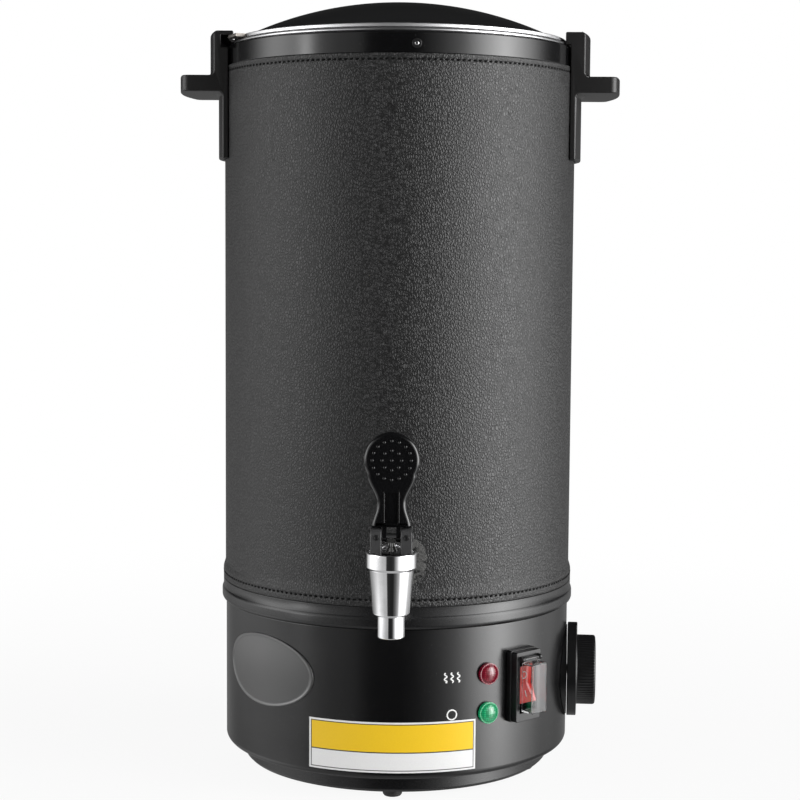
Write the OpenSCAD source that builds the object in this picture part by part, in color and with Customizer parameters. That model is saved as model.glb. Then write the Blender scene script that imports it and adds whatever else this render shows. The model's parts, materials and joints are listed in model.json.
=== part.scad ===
// Electric wax melter: a leather-wrapped urn with a drain tap, twist-lock lid and dry heating base.
// Millimetres. The origin is on the bench at the urn's axis, +Z is up and the tap looks along -Y.

/* [Urn] */
// Thickness of the leather
jacket_t = 1.2; // [0.8:0.1:1.6]
// How far the hem flares at the bottom of the jacket
hem_flare = 1.3; // [0.4:0.1:1.6]
// Height of the flared hem
hem_h = 12; // [6:1:20]
// Wall of the steel outer shell
shell_t = 1.2; // [0.8:0.1:1.6]
// Inner radius of the pot
pot_r = 104; // [90:1:120]
// Wall of the pot
pot_t = 0.8; // [0.6:0.1:1]
// Depth of the pot from its rim to its floor
pot_depth = 332; // [280:2:380]
// Height of the pot's floor above the foot of the jacket
floor_up = 12.8; // [12:0.2:20]
// Thickness of the insulation sleeve
felt_t = 6.2; // [5:0.2:10]
// Radius of the pot's rolled rim bead
bead_r = 1.25; // [0.9:0.05:1.5]

/* [Rim band] */
// Height of the band above the leather
band_h = 12.8; // [10:0.2:16]
// How far the band lies inside the leather's surface
band_inset = 1.1; // [0.6:0.1:1.4]
// Depth of the band's spigot inside the outer shell
spigot_h = 10; // [6:1:14]
// Number of rivets round the band
rivet_count = 3; // [2:1:6]
// Angle of the first rivet from the front
rivet_az = 6.2; // [0:0.2:12]

/* [Lid] */
// How far the lid's steel rim lies inside the middle of the pot's bead
lid_inset = 1.15; // [0.9:0.05:1.6]
// Height of the visible edge of the lid's rim
lid_edge_h = 2.4; // [2:0.1:3]
// How far the dome's foot lies inside the lid's edge
dome_inset = 4.8; // [4.2:0.2:8]
// Rise of the dome above its foot
dome_rise = 24; // [16:1:36]
// Thickness of the dome
dome_t = 1.2; // [0.8:0.1:2]
// Dark gap between the pot's bead and the lid's rim
lid_gap = 0.4; // [0.3:0.05:0.8]
// How far each locking lug stands out from the lid's rim
lug_reach = 7.2; // [4:0.2:7.4]
// Width of a lug, as an angle
lug_angle = 8; // [5:0.5:9]
// Thickness of a lug
lug_t = 2.1; // [1.6:0.1:2.3]

/* [Handles] */
// Width of a handle across its flat ends
handle_w = 74; // [60:1:84]
// Thickness of a handle above its grip
handle_t = 9; // [8.6:0.2:12]
// Distance from the leather to the end of the grip
grip_reach = 28.5; // [22:0.5:36]
// Thickness of the grip
grip_t = 10.3; // [8:0.1:13]
// Drop from the top of the rim band to the top of the grip
grip_drop = 19.3; // [16:0.1:26]
// Length of the leg below the grip
leg_h = 42.2; // [30:0.2:60]
// Thickness of the leg
leg_t = 3.7; // [3:0.1:5]
// Thickness of the hook's roof over the locking slot
hook_t = 2.8; // [2:0.1:4]
// Corner radius of the grip, seen from above
grip_corner = 5; // [2:0.5:8]
// Fillet between the grip and the rest of the handle
handle_fillet = 3; // [1:0.5:5]

/* [Base] */
// Height of the visible transition ring
ring_h = 14; // [12:0.5:18]
// How far the ring's bead stands out from the leather
ring_bulge = 2.2; // [1:0.1:3]
// Height of the base housing
base_h = 93.8; // [92:0.2:110]
// How far the housing lies inside the leather's surface
base_inset = 0.5; // [0.2:0.1:1.5]
// Wall of the base housing
base_t = 2.5; // [2:0.1:3]
// Corner radius at the housing's lower edge
base_corner = 4; // [3:0.5:6]
// How far the bottom pan lies inside the housing
pan_inset = 12.6; // [11:0.2:16]
// Height of the bottom pan
pan_h = 11.5; // [8:0.5:14]
// Wall of the bottom pan
pan_t = 2; // [1.6:0.1:2.6]
// Height of the rubber feet
foot_h = 4.7; // [4.2:0.1:8]
// Radius of a rubber foot
foot_r = 6.4; // [5:0.2:7]
// Distance from the bottom pan's outer edge to the feet's centres
foot_inset = 11.9; // [11:0.1:20]
// Number of feet
foot_count = 5; // [3:1:6]

/* [Controls] */
// Angle of the lamps from the front
lamp_az = 31; // [29:0.5:32]
// Height of the red lamp
red_z = 80; // [77:0.5:86]
// Height of the green lamp
green_z = 55.5; // [50:0.5:59]
// Radius of a lamp's lens
lens_r = 6.7; // [6:0.1:7.5]
// How far a lens stands out
lens_out = 4.4; // [3:0.1:6]
// Angle of the switch from the front
switch_az = 44; // [43.5:0.5:46]
// Height of the switch's centre
switch_z = 70; // [66:0.5:74]
// Width of the switch's frame
switch_w = 21.5; // [20:0.5:23]
// Height of the switch's frame
switch_h = 44; // [42:0.5:48]
// How far the switch's frame stands out from the housing
switch_out = 7.9; // [7:0.1:10]
// Travel of the rocker from one side to the other
rocker_travel = 16; // [10:1:20]
// Angle of the knob from the front
knob_az = 86; // [84:0.5:92]
// Height of the knob's centre
knob_z = 62; // [56:0.5:66]
// Radius of the knob's skirt
skirt_r = 30.4; // [28:0.2:32]
// Thickness of the knob's skirt
skirt_t = 6; // [4:0.2:8]
// Radius of the knob's grip
knob_r = 22.8; // [20:0.2:25]
// Height of the knob's grip
knob_h = 12.6; // [10:0.2:16]
// Number of ribs round the grip
knob_ribs = 72; // [36:2:80]
// Radius of the thermostat's spindle
spindle_r = 3; // [2.6:0.1:3.4]

/* [Tap] */
// Distance from the leather to the tap's axis
tap_out = 36; // [33:1:46]
// Height of the tap's shank above the pot's floor
shank_up = 15.2; // [13:0.1:17]
// Radius of the shank's thread
shank_r = 8; // [7.5:0.1:8.4]
// Bore of the shank
shank_bore_r = 5; // [4:0.1:5.5]
// Radius of the tap's collar
collar_r = 15; // [14:0.1:16]
// Height of the collar
collar_h = 9; // [8:0.5:12]
// Radius at the top of the tapered body
taper_top_r = 13.3; // [12:0.1:13.6]
// Radius at the foot of the tapered body
taper_foot_r = 10.9; // [9.4:0.1:11]
// Length of the tapered body
taper_h = 26.3; // [24:0.1:32]
// Radius of the spout
spout_r = 8.1; // [7.6:0.1:9]
// Length of the spout
spout_h = 14.2; // [12:0.2:20]
// Bore of the spout
spout_bore_r = 5.5; // [4.5:0.1:6]
// Radius of the lever's round paddle
paddle_r = 16.3; // [14:0.1:18]
// Distance from the pivot to the paddle's centre
paddle_up = 44.5; // [40:0.5:50]
// Thickness of the lever
lever_t = 8; // [6:0.2:9]
// Half width of the lever's neck
neck_w = 8.45; // [7.5:0.1:9.5]
// Swing of the lever from closed to open
lever_swing = 55; // [40:1:60]
// Distance from the pivot to the crank pin that lifts the stem
crank_r = 4.6; // [4.4:0.1:4.8]
// Radius of the tap's stem
stem_r = 1.6; // [1.4:0.1:2]
// Radius of the washer that seals the tap to the shell
washer_r = 12.5; // [12:0.5:16]

/* [Badges] */
// Angle of the oval badge from the front
badge_az = -46; // [-52:0.5:-44]
// Height of the badge's centre
badge_z = 76.5; // [74:0.5:80]
// Half width of the oval badge, along the housing
badge_a = 41; // [34:0.5:42]
// Half height of the oval badge
badge_b = 22.7; // [18:0.1:23]
// Thickness of the badge
badge_t = 1; // [0.6:0.1:1.6]
// Width of the blank label, along the housing
label_w = 106; // [90:1:108]
// Height of the label
label_h = 31.5; // [26:0.5:32]
// Height of the label's lower edge
label_z = 21; // [20.5:0.5:23]
// Thickness of the label
label_t = 0.3; // [0.2:0.05:0.5]

/* [Fits] */
// Gap between nested round pieces that don't turn
fit = 0.2; // [0.15:0.05:0.3]
// Gap between pieces that move past each other
play = 0.4; // [0.3:0.05:0.5]
// Radial clearance of pins and shafts in their holes
run = 0.06; // [0.04:0.01:0.08]

/* [Hidden] */
$fn = 96;
eps = 0.01;

// Heights, from the bench up
z_pan = foot_h;
z_base = z_pan + pan_h;
z_ring = z_base + base_h;
z_jacket = z_ring + ring_h;
z_floor = z_jacket + floor_up;
z_band = z_floor + pot_depth;
z_rim = z_band - band_h;
z_lid = z_band + 2 * bead_r + lid_gap;
z_dome = z_lid + lid_edge_h;
z_hook = z_dome + play;
z_grip = z_band - grip_drop;

// Radii, from the pot out
pot_or = pot_r + pot_t;
felt_ir = pot_or + fit;
felt_or = felt_ir + felt_t;
shell_ir = felt_or + fit;
shell_or = shell_ir + shell_t;
leather_ir = shell_or + fit;
jacket_r = leather_ir + jacket_t;
band_or = jacket_r - band_inset;
bead_mid_r = band_or - 2.5 - bead_r;
lid_r = bead_mid_r - lid_inset;
dome_r = lid_r - dome_inset;
tap_reach = jacket_r + tap_out;
base_or = jacket_r - base_inset;
base_ir = base_or - base_t;
ring_or = jacket_r + ring_bulge;
ring_ir = base_ir - 7;
pan_or = base_or - pan_inset;
foot_circle_r = pan_or - foot_inset;
shelf_z = z_jacket - 4;
spigot_foot = z_ring - 6;

// Locking slot in each handle
lug_r = lid_r + lug_reach;
handle_ir = jacket_r + 0.3;
handle_or = handle_ir + handle_t;
slot_floor = z_band - 1.8;
hook_ir = bead_mid_r + bead_r + 0.8;
slot_or = min(lug_r + 3.5, handle_or - 2.5);
grip_or = jacket_r + grip_reach;
mouth_angle = asin(handle_w / 2 / hook_ir);
lug_az = 90 - mouth_angle - lug_angle / 2 - 0.6;
stop_t = 5;
screw_z = z_grip - grip_t + 2.5;
screw_angle = 9;

// Tap
shank_z = z_floor + shank_up;
pivot_z = shank_z + 22.4;
collar_z = pivot_z - 10 - collar_h;
taper_z = collar_z - 1.3;
spout_top = taper_z - taper_h;
spout_z = spout_top - spout_h;
crank_0 = -lever_swing / 2;
stem_back = crank_r * cos(lever_swing / 4);
stem_y = -tap_reach;
pivot_y = stem_y - stem_back;
ear_in = 5.7;
ear_w = 6.5;
ear_r = 5;
hub_r = 3.6;
bonnet_z = collar_z + collar_h - 1.5;
ear_foot = collar_z + collar_h + 0.2;
seat_z = shank_z - shank_bore_r - 5;
pot_flat = pot_r - 2.5;

// Heater stack
spread_t = 5;
spread_z = z_floor - pot_t - spread_t;
elem_r = 3.2;
elem_circle = 66;
elem_z = spread_z - elem_r - 0.2;
clamp_t = 1.2;
clamp_z = elem_z - elem_r - 0.2 - clamp_t;
shield_t = 0.8;
shield_z = spigot_foot - shield_t;
stud_r = 2.5;
stud_circle = 52;
pan_floor = z_pan + pan_t;
block_y = 62;
block_h = 15;
pole_w = 16;
earth_x = -1.9 * pole_w;
cold_az = 205;
bulb_r = 3;
bulb_l = 46;
bulb_x = -24;
bulb_y = 20;
bulb_z = spread_z - bulb_r - 0.05;

// Controls
lens_d = base_or + 0.3;
switch_d = base_or + switch_out;
window_w = switch_w - 6.5;
window_h = switch_h - 11;
rocker_w = window_w - 2 * play;
rocker_axis = switch_d - 7;
well_d = switch_d - 22;
flap_w = window_w - 2;
flap_h = window_h - 2;
flap_out = 9;
hinge_y = flap_h / 2 + 2.2;
hinge_d = switch_d + 1.8;
seat_d = base_or + 0.4;
skirt_d = seat_d + play;
grip_d = skirt_d + skirt_t;
thermo_d = base_ir - 0.6;
thermo_back = thermo_d - 24.1;
gland_z = 45;

// Frame on the wall: X to the right, Y up and Z outward at a height and an angle from the front
module at(az, z, d = 0) {
    translate([0, 0, z]) rotate([90, 0, az]) translate([0, 0, d]) children();
}

// Upright tube from z0 to z1
module tube(ro, ri, z0, z1) {
    difference() {
        translate([0, 0, z0]) cylinder(r = ro, h = z1 - z0, $fn = 180);
        translate([0, 0, z0 - 1]) cylinder(r = ri, h = z1 - z0 + 2, $fn = 180);
    }
}

// Box centred in X and Y that stands on z = 0
module block(x, y, z) {
    translate([-x / 2, -y / 2, 0]) cube([x, y, z]);
}

// Rounded rectangle centred on the origin
module pad(w, h, r) {
    square([w - 2 * r, h], center = true);
    square([w, h - 2 * r], center = true);
    for (x = [-1, 1], y = [-1, 1]) translate([x * (w / 2 - r), y * (h / 2 - r)]) circle(r = r, $fn = 32);
}

// Straight rod between two points
module rod(a, b, r) {
    d = b - a;
    len = norm(d);
    translate(a) rotate([0, acos(d[2] / len), atan2(d[1], d[0])]) cylinder(r = r, h = len, $fn = 24);
}

// Chain of rods along points. Each runs a little past its bends, and every other one is slightly thinner
module run_wire(points, r) {
    last = len(points) - 2;
    for (i = [0 : last]) {
        along = (points[i + 1] - points[i]) / norm(points[i + 1] - points[i]);
        before = i > 0 ? 0.8 * r : 0;
        after = i < last ? 0.8 * r : 0;
        rod(points[i] - before * along, points[i + 1] + after * along, r - 0.08 * (i % 2));
    }
}

// Point on the wall's frame, in the urn's own frame, with a step t to the right
function wall_point(az, d, z, t = 0) = [d * sin(az) + t * cos(az), -d * cos(az) + t * sin(az), z];

// ---- Urn ----
module pot() {
    color("lightgray") difference() {
        union() {
            translate([0, 0, z_floor - pot_t]) cylinder(r = pot_or, h = pot_depth + 2 * pot_t, $fn = 180);
            translate([0, 0, z_band]) cylinder(r = bead_mid_r, h = pot_t, $fn = 180);
            translate([0, 0, z_band + bead_r]) rotate_extrude($fn = 180)
                translate([bead_mid_r, 0]) circle(r = bead_r, $fn = 24);
        }
        translate([0, 0, z_floor]) cylinder(r = pot_r, h = pot_depth + 10, $fn = 180);
        at(0, shank_z, pot_r - 8) cylinder(r = shank_r + 0.4, h = 20);
    }
}

module felt_sleeve() {
    color("beige") difference() {
        tube(felt_or, felt_ir, shelf_z + 0.3, z_rim - spigot_h - 0.3);
        at(0, shank_z, pot_r - 8) cylinder(r = 16, h = 20);
        for (side = [-90, 90], s = [-1, 1]) at(side + s * screw_angle, screw_z, pot_or - 2)
            cylinder(r = 5.5, h = 14);
    }
}

module outer_shell() {
    color("dimgray") difference() {
        tube(shell_or, shell_ir, shelf_z, z_rim);
        at(0, shank_z, pot_r) cylinder(r = shank_r + 0.4, h = 20);
        for (side = [-90, 90], s = [-1, 1]) at(side + s * screw_angle, screw_z, pot_r)
            cylinder(r = 2.2, h = 20);
    }
}

module leather_jacket() {
    hem_r = jacket_r + hem_flare;
    color([0.16, 0.16, 0.17]) difference() {
        rotate_extrude($fn = 180) polygon([[leather_ir, z_jacket], [hem_r, z_jacket],
            [hem_r, z_jacket + hem_h / 2], [jacket_r, z_jacket + hem_h], [jacket_r, z_rim], [leather_ir, z_rim]]);
        at(0, shank_z, pot_r) cylinder(r = washer_r + 0.7, h = 20);
        for (side = [-90, 90], s = [-1, 1]) at(side + s * screw_angle, screw_z, pot_r)
            cylinder(r = 2.2, h = 20);
    }
}

module rim_band() {
    spigot_or = shell_ir - fit;
    flange_ir = pot_or + fit;
    color([0.07, 0.07, 0.07]) difference() {
        rotate_extrude($fn = 180) polygon([[band_or, z_rim], [band_or, z_band - 0.5], [band_or - 0.5, z_band],
            [flange_ir, z_band], [flange_ir, z_band - 1.5], [spigot_or - 1.8, z_band - 1.5],
            [spigot_or - 1.8, z_rim - spigot_h], [spigot_or, z_rim - spigot_h], [spigot_or, z_rim]]);
        for (i = [0 : rivet_count - 1]) at(rivet_az + i * 360 / rivet_count, z_rim + 5.6, pot_r)
            cylinder(r = 1.3, h = 20);
    }
}

module band_rivets() {
    color("silver") for (i = [0 : rivet_count - 1]) at(rivet_az + i * 360 / rivet_count, z_rim + 5.6) {
        translate([0, 0, shell_ir - fit - 2.6]) cylinder(r = 2.4, h = 0.6);
        translate([0, 0, shell_ir - fit - 2]) cylinder(r = 1.24, h = band_or + 2.7 - shell_ir + fit);
    }
}

module rivet_eyelets() {
    color([0.1, 0.1, 0.1]) for (i = [0 : rivet_count - 1]) at(rivet_az + i * 360 / rivet_count, z_rim + 5.6)
        translate([0, 0, band_or + 0.05]) difference() {
            cylinder(r = 2.9, h = 0.5);
            translate([0, 0, -1]) cylinder(r = 1.34, h = 3);
        }
}

// ---- Lid ----
module lug(az) {
    rotate([0, 0, az - 90 - lug_angle / 2]) rotate_extrude(angle = lug_angle, $fn = 180)
        translate([lid_r - 1, z_lid]) square([lug_reach + 1, lug_t]);
}

module lid_rim() {
    color("silver") {
        rotate_extrude($fn = 180) polygon([[lid_r, z_lid], [lid_r, z_dome], [dome_r - 3, z_dome],
            [dome_r - 3, z_lid - 8], [dome_r - 2, z_lid - 8], [dome_r - 2, z_dome - 1],
            [lid_r - 1, z_dome - 1], [lid_r - 1, z_lid]]);
        lug(-lug_az);
        lug(180 - lug_az);
    }
}

module lid_dome() {
    sphere_r = (dome_r * dome_r + dome_rise * dome_rise) / (2 * dome_rise);
    color([0.08, 0.08, 0.08]) intersection() {
        translate([0, 0, z_dome + dome_rise - sphere_r]) difference() {
            sphere(r = sphere_r, $fn = 180);
            sphere(r = sphere_r - dome_t, $fn = 180);
        }
        translate([0, 0, z_dome]) cylinder(r = dome_r + 5, h = dome_rise + 5, $fn = 180);
    }
}

module lid_seal() {
    color([0.2, 0.2, 0.2]) tube(lid_r - 1 - play, dome_r - 2 + play, z_band + pot_t, z_dome - 1);
}

// ---- Handles ----
// Outline seen from above, along +X, with round corners on the arc of radius reach
module plan_outline(reach) {
    c = grip_corner;
    cy = handle_w / 2 - c;
    cx = sqrt((reach - c) * (reach - c) - cy * cy);
    a = asin(cy / (reach - c));
    far = reach + 10;
    translate([60, -handle_w / 2]) square([cx - 60, handle_w]);
    for (s = [-1, 1]) translate([cx, s * cy]) circle(r = c, $fn = 48);
    polygon([[0, 0], [far * cos(a), -far * sin(a)], [far * 1.2, 0], [far * cos(a), far * sin(a)]]);
}

module handle_upper() {
    z0 = z_grip - 0.5;
    c = 2.5;
    rotate_extrude($fn = 180) difference() {
        union() {
            translate([hook_ir, slot_floor]) square([handle_or - hook_ir, z_hook + hook_t - c - slot_floor]);
            translate([hook_ir, slot_floor]) square([handle_or - hook_ir - c, z_hook + hook_t - slot_floor]);
            translate([handle_or - c, z_hook + hook_t - c]) circle(r = c, $fn = 32);
            translate([handle_ir, z0]) square([handle_or - handle_ir, slot_floor - z0 + eps]);
        }
        translate([hook_ir - 1, slot_floor]) square([slot_or - hook_ir + 1, z_hook - slot_floor]);
    }
}

module handle_lower() {
    z0 = z_grip - grip_t;
    leg_or = handle_ir + leg_t;
    f = handle_fillet;
    rotate_extrude($fn = 180) {
        translate([handle_ir, z0]) square([grip_or - handle_ir, grip_t]);
        translate([handle_ir, z0 - leg_h]) square([leg_t, leg_h + 1]);
        difference() {
            translate([leg_or - 1, z0 - f]) square([f + 1, f + 1]);
            translate([leg_or + f, z0 - f]) circle(r = f, $fn = 32);
        }
        difference() {
            translate([handle_or - 1, z_grip - 1]) square([f + 1, f + 1]);
            translate([handle_or + f, z_grip + f]) circle(r = f, $fn = 32);
        }
    }
}

// Handle on the +X side. Its locking slot is open at the rear end and stopped at the front end
module handle() {
    difference() {
        union() {
            intersection() {
                union() {
                    handle_upper();
                    handle_lower();
                }
                translate([0, 0, z_grip - grip_t - leg_h - 1])
                    linear_extrude(height = 200) plan_outline(grip_or);
            }
            intersection() {
                rotate_extrude($fn = 180) translate([hook_ir, z_band + 0.5])
                    square([handle_or - 1 - hook_ir, z_hook + 0.5 - z_band]);
                translate([60, -handle_w / 2, z_grip]) cube([100, stop_t, 60]);
            }
            intersection() {
                rotate_extrude($fn = 180) translate([handle_ir, slot_floor - 1])
                    square([handle_or - 1 - handle_ir, z_hook + 1 - slot_floor]);
                translate([60, -handle_w / 2, z_grip]) cube([100, stop_t, 60]);
            }
        }
        for (s = [-1, 1]) at(90 + s * screw_angle, screw_z, handle_ir - 2) cylinder(r = 2.06, h = 9.5);
    }
}

module handle_right() {
    color([0.12, 0.12, 0.12]) handle();
}

module handle_left() {
    color([0.12, 0.12, 0.12]) rotate([0, 0, 180]) handle();
}

module handle_screws() {
    head_d = shell_ir - 0.1;
    color("silver") for (side = [-90, 90], s = [-1, 1]) at(side + s * screw_angle, screw_z) {
        translate([0, 0, head_d - 2.2]) cylinder(r = 3.6, h = 2.1);
        translate([0, 0, head_d - 1]) cylinder(r = 2, h = handle_ir + 7 - head_d + 1);
    }
}

// ---- Base ----
module transition_ring() {
    r = 4;
    spigot_or = base_ir - fit;
    color([0.1, 0.1, 0.1]) rotate_extrude($fn = 180) {
        translate([ring_ir, z_ring]) square([ring_or - r - ring_ir, shelf_z - z_ring]);
        translate([ring_or - r - eps, z_ring + r]) square([r + eps, shelf_z - z_ring - 2 * r]);
        translate([ring_or - r, z_ring + r]) circle(r = r, $fn = 48);
        translate([ring_or - r, shelf_z - r]) circle(r = r, $fn = 48);
        translate([shell_or + 0.3, shelf_z - 1]) square([jacket_r + hem_flare - shell_or - 0.3, z_jacket - shelf_z + 1]);
        translate([ring_ir, spigot_foot]) square([spigot_or - ring_ir, z_ring - spigot_foot + 1]);
    }
}

module base_housing() {
    r = base_corner;
    lip_ir = pan_or - 4;
    color([0.05, 0.05, 0.05]) difference() {
        rotate_extrude($fn = 180) {
            translate([base_ir, z_base + r]) square([base_t, base_h - r]);
            translate([lip_ir, z_base]) square([base_or - r - lip_ir, base_t]);
            intersection() {
                translate([base_or - r, z_base]) square([r, r + eps]);
                translate([base_or - r, z_base + r]) difference() {
                    circle(r = r, $fn = 48);
                    circle(r = r - base_t, $fn = 48);
                }
            }
        }
        for (z = [red_z, green_z]) at(lamp_az, z, base_ir - 5) cylinder(r = 5.1, h = 20);
        at(switch_az, switch_z, base_ir - 6)
            translate([-window_w / 2 - 1.4, -window_h / 2 - 1.4, 0]) cube([window_w + 2.8, window_h + 2.8, 20]);
        at(knob_az, knob_z, base_ir - 5) cylinder(r = spindle_r + 1.6, h = 20);
        at(180, gland_z, base_ir - 5) cylinder(r = 8.2, h = 20);
    }
}

module bottom_pan() {
    color([0.09, 0.09, 0.09]) difference() {
        rotate_extrude($fn = 180) polygon([[0, z_pan], [pan_or - 2, z_pan], [pan_or, z_pan + 2],
            [pan_or, z_base], [pan_or - pan_t, z_base], [pan_or - pan_t, z_pan + pan_t], [0, z_pan + pan_t]]);
        for (i = [0 : foot_count - 1]) at_foot(i) cylinder(r = 2.06, h = 60, center = true, $fn = 24);
        for (a = [60, 180, 300]) rotate([0, 0, a]) translate([stud_circle, 0, z_pan - 1])
            cylinder(r = stud_r + fit, h = 8);
    }
}

module at_foot(i) {
    rotate([0, 0, 360 * i / foot_count - 90]) translate([foot_circle_r, 0, 0]) children();
}

module rubber_feet() {
    color([0.06, 0.06, 0.06]) for (i = [0 : foot_count - 1]) at_foot(i) difference() {
        union() {
            cylinder(r1 = foot_r - 1.2, r2 = foot_r - 0.4, h = 1);
            translate([0, 0, 1]) cylinder(r1 = foot_r - 0.4, r2 = foot_r, h = foot_h - 1);
        }
        translate([0, 0, -1]) cylinder(r = 3.6, h = 3);
        cylinder(r = 2.06, h = 60, center = true);
    }
}

module foot_screws() {
    color("silver") for (i = [0 : foot_count - 1]) at_foot(i) {
        translate([0, 0, 0.8]) cylinder(r = 3.3, h = 1.2);
        translate([0, 0, 1]) cylinder(r = 2, h = pan_floor + 3 - 1);
        translate([0, 0, pan_floor]) cylinder(r = 3.6, h = 2.4, $fn = 6);
    }
}

// ---- Heater stack ----
module at_studs() {
    for (a = [60, 180, 300]) rotate([0, 0, a]) translate([stud_circle, 0, 0]) children();
}

module tie_studs() {
    color("silver") at_studs() translate([0, 0, z_pan - 3.4]) cylinder(r = stud_r, h = z_floor - pot_t - z_pan + 3.4);
}

module tie_nuts() {
    color("silver") at_studs() for (z = [z_pan - 2.8, clamp_z - 2.8]) translate([0, 0, z]) difference() {
        cylinder(r = 5, h = 2.8, $fn = 6);
        translate([0, 0, -1]) cylinder(r = stud_r + run, h = 6);
    }
}

module heat_spreader() {
    color("lightgray") difference() {
        translate([0, 0, spread_z]) cylinder(r = pot_r - 14, h = spread_t, $fn = 180);
        at_studs() translate([0, 0, spread_z - 1]) cylinder(r = stud_r + fit, h = spread_t + 2);
    }
}

module heating_element() {
    gap_az = 24;
    color("gray") rotate([0, 0, cold_az + gap_az / 2]) {
        translate([0, 0, elem_z]) rotate_extrude(angle = 360 - gap_az, $fn = 180)
            translate([elem_circle, 0]) circle(r = elem_r, $fn = 32);
        for (a = [0, -gap_az]) rotate([0, 0, a]) translate([elem_circle, 0, elem_z]) {
            sphere(r = elem_r + 0.12, $fn = 32);
            translate([0, 0, -16]) cylinder(r = elem_r, h = 16, $fn = 32);
        }
    }
}

module element_clamp() {
    color("darkgray") difference() {
        translate([0, 0, clamp_z]) cylinder(r = elem_circle + 8, h = clamp_t, $fn = 180);
        translate([0, 0, clamp_z - 1]) cylinder(r = 42, h = clamp_t + 2);
        at_studs() translate([0, 0, clamp_z - 1]) cylinder(r = stud_r + fit, h = clamp_t + 2);
        rotate([0, 0, cold_az]) translate([elem_circle, 0, clamp_z - 1]) block(24, 42, clamp_t + 2);
    }
}

module heat_shield() {
    color("silver") difference() {
        translate([0, 0, shield_z]) cylinder(r = base_ir - fit - 0.5, h = shield_t, $fn = 180);
        at_studs() translate([0, 0, shield_z - 1]) cylinder(r = stud_r + fit, h = shield_t + 2);
        rotate([0, 0, cold_az]) translate([elem_circle, 0, shield_z - 1]) block(26, 46, shield_t + 2);
        translate([bulb_x + bulb_l + 8, bulb_y, shield_z - 1]) cylinder(r = 8, h = shield_t + 2);
    }
}

module thermal_cutout() {
    color([0.15, 0.12, 0.1]) translate([-12, -14, spread_z]) {
        translate([0, 0, -7]) cylinder(r = 8, h = 7);
        translate([0, 0, -10]) cylinder(r = 5.5, h = 4);
        for (x = [-4, 4]) translate([x - 0.4, -2, -16]) cube([0.8, 4, 7]);
    }
}

module sensor_bulb() {
    color("tan") translate([bulb_x, bulb_y, bulb_z]) rotate([0, 90, 0]) cylinder(r = bulb_r, h = bulb_l, $fn = 32);
}

module capillary_tube() {
    top = knob_z + 10;
    bulb_end = bulb_x + bulb_l;
    color("tan") run_wire([[bulb_end + 0.05, bulb_y, bulb_z], [bulb_end + 9, bulb_y, bulb_z],
        [bulb_end + 9, bulb_y + 1, shield_z - 10], [bulb_end + 38, bulb_y - 8, knob_z + 26],
        wall_point(knob_az, thermo_back - 6, top), wall_point(knob_az, thermo_back, top)], 0.9);
}

module thermostat_body() {
    color([0.85, 0.83, 0.78]) at(knob_az, knob_z) difference() {
        union() {
            translate([0, 0, thermo_d - 24]) linear_extrude(height = 20) pad(34, 40, 3);
            translate([0, 0, thermo_d - 4.1]) cylinder(r = 9, h = 4.1);
        }
        translate([0, 0, thermo_d - 16]) cylinder(r = spindle_r + run, h = 30);
    }
}

module thermostat_spindle() {
    color("silver") at(knob_az, knob_z, thermo_d - 15.6) cylinder(r = spindle_r, h = grip_d + 6 - thermo_d + 15.6);
}

// ---- Controls ----
module knob() {
    color([0.09, 0.09, 0.09]) at(knob_az, knob_z) difference() {
        union() {
            translate([0, 0, skirt_d]) cylinder(r = skirt_r, h = skirt_t);
            translate([-3.4, skirt_r - 7, skirt_d]) cube([6.8, 8, skirt_t + 0.4]);
            translate([0, 0, grip_d - 1]) cylinder(r = knob_r - 0.5, h = knob_h);
            translate([0, 0, grip_d + knob_h - 1]) cylinder(r1 = knob_r - 0.5, r2 = knob_r - 1.7, h = 1);
            for (i = [0 : knob_ribs - 1]) rotate([0, 0, (i + 0.5) * 360 / knob_ribs])
                translate([knob_r - 1, -0.45, grip_d - 1]) cube([1, 0.9, knob_h - 0.4]);
        }
        translate([0, 0, skirt_d - 1]) cylinder(r = spindle_r + run, h = skirt_t + 8);
    }
}

module knob_seat() {
    color([0.09, 0.09, 0.09]) at(knob_az, knob_z) difference() {
        translate([0, 0, base_or - 8]) cylinder(r = skirt_r - 1, h = seat_d - base_or + 8);
        translate([0, 0, base_or - 9]) cylinder(r = spindle_r + 1.6, h = 20);
        rotate([90, 0, 0]) translate([0, 0, -60]) cylinder(r = base_or + 0.05, h = 120, $fn = 180);
    }
}

module lamp_lens(z) {
    at(lamp_az, z, lens_d) {
        cylinder(r = lens_r, h = lens_out / 2);
        intersection() {
            translate([0, 0, lens_out - 9]) sphere(r = 9, $fn = 96);
            cylinder(r = lens_r - 0.6, h = lens_out + 1);
        }
    }
}

module red_lamp_lens() {
    color([0.75, 0.05, 0.12]) lamp_lens(red_z);
}

module green_lamp_lens() {
    color([0.05, 0.65, 0.35]) lamp_lens(green_z);
}

module lamp_bodies() {
    color([0.9, 0.9, 0.86]) for (z = [red_z, green_z]) at(lamp_az, z) {
        translate([0, 0, base_ir - 18]) cylinder(r = 4.9, h = lens_d - base_ir + 18);
        for (x = [-2.5, 2.5]) translate([x - 0.4, -1.5, base_ir - 25]) cube([0.8, 3, 8]);
    }
}

module lamp_nuts() {
    color([0.8, 0.8, 0.76]) for (z = [red_z, green_z]) at(lamp_az, z) difference() {
        translate([0, 0, base_ir - 3.4]) cylinder(r = 8, h = 3, $fn = 6);
        translate([0, 0, base_ir - 5]) cylinder(r = 4.9 + run, h = 8);
    }
}

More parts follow.
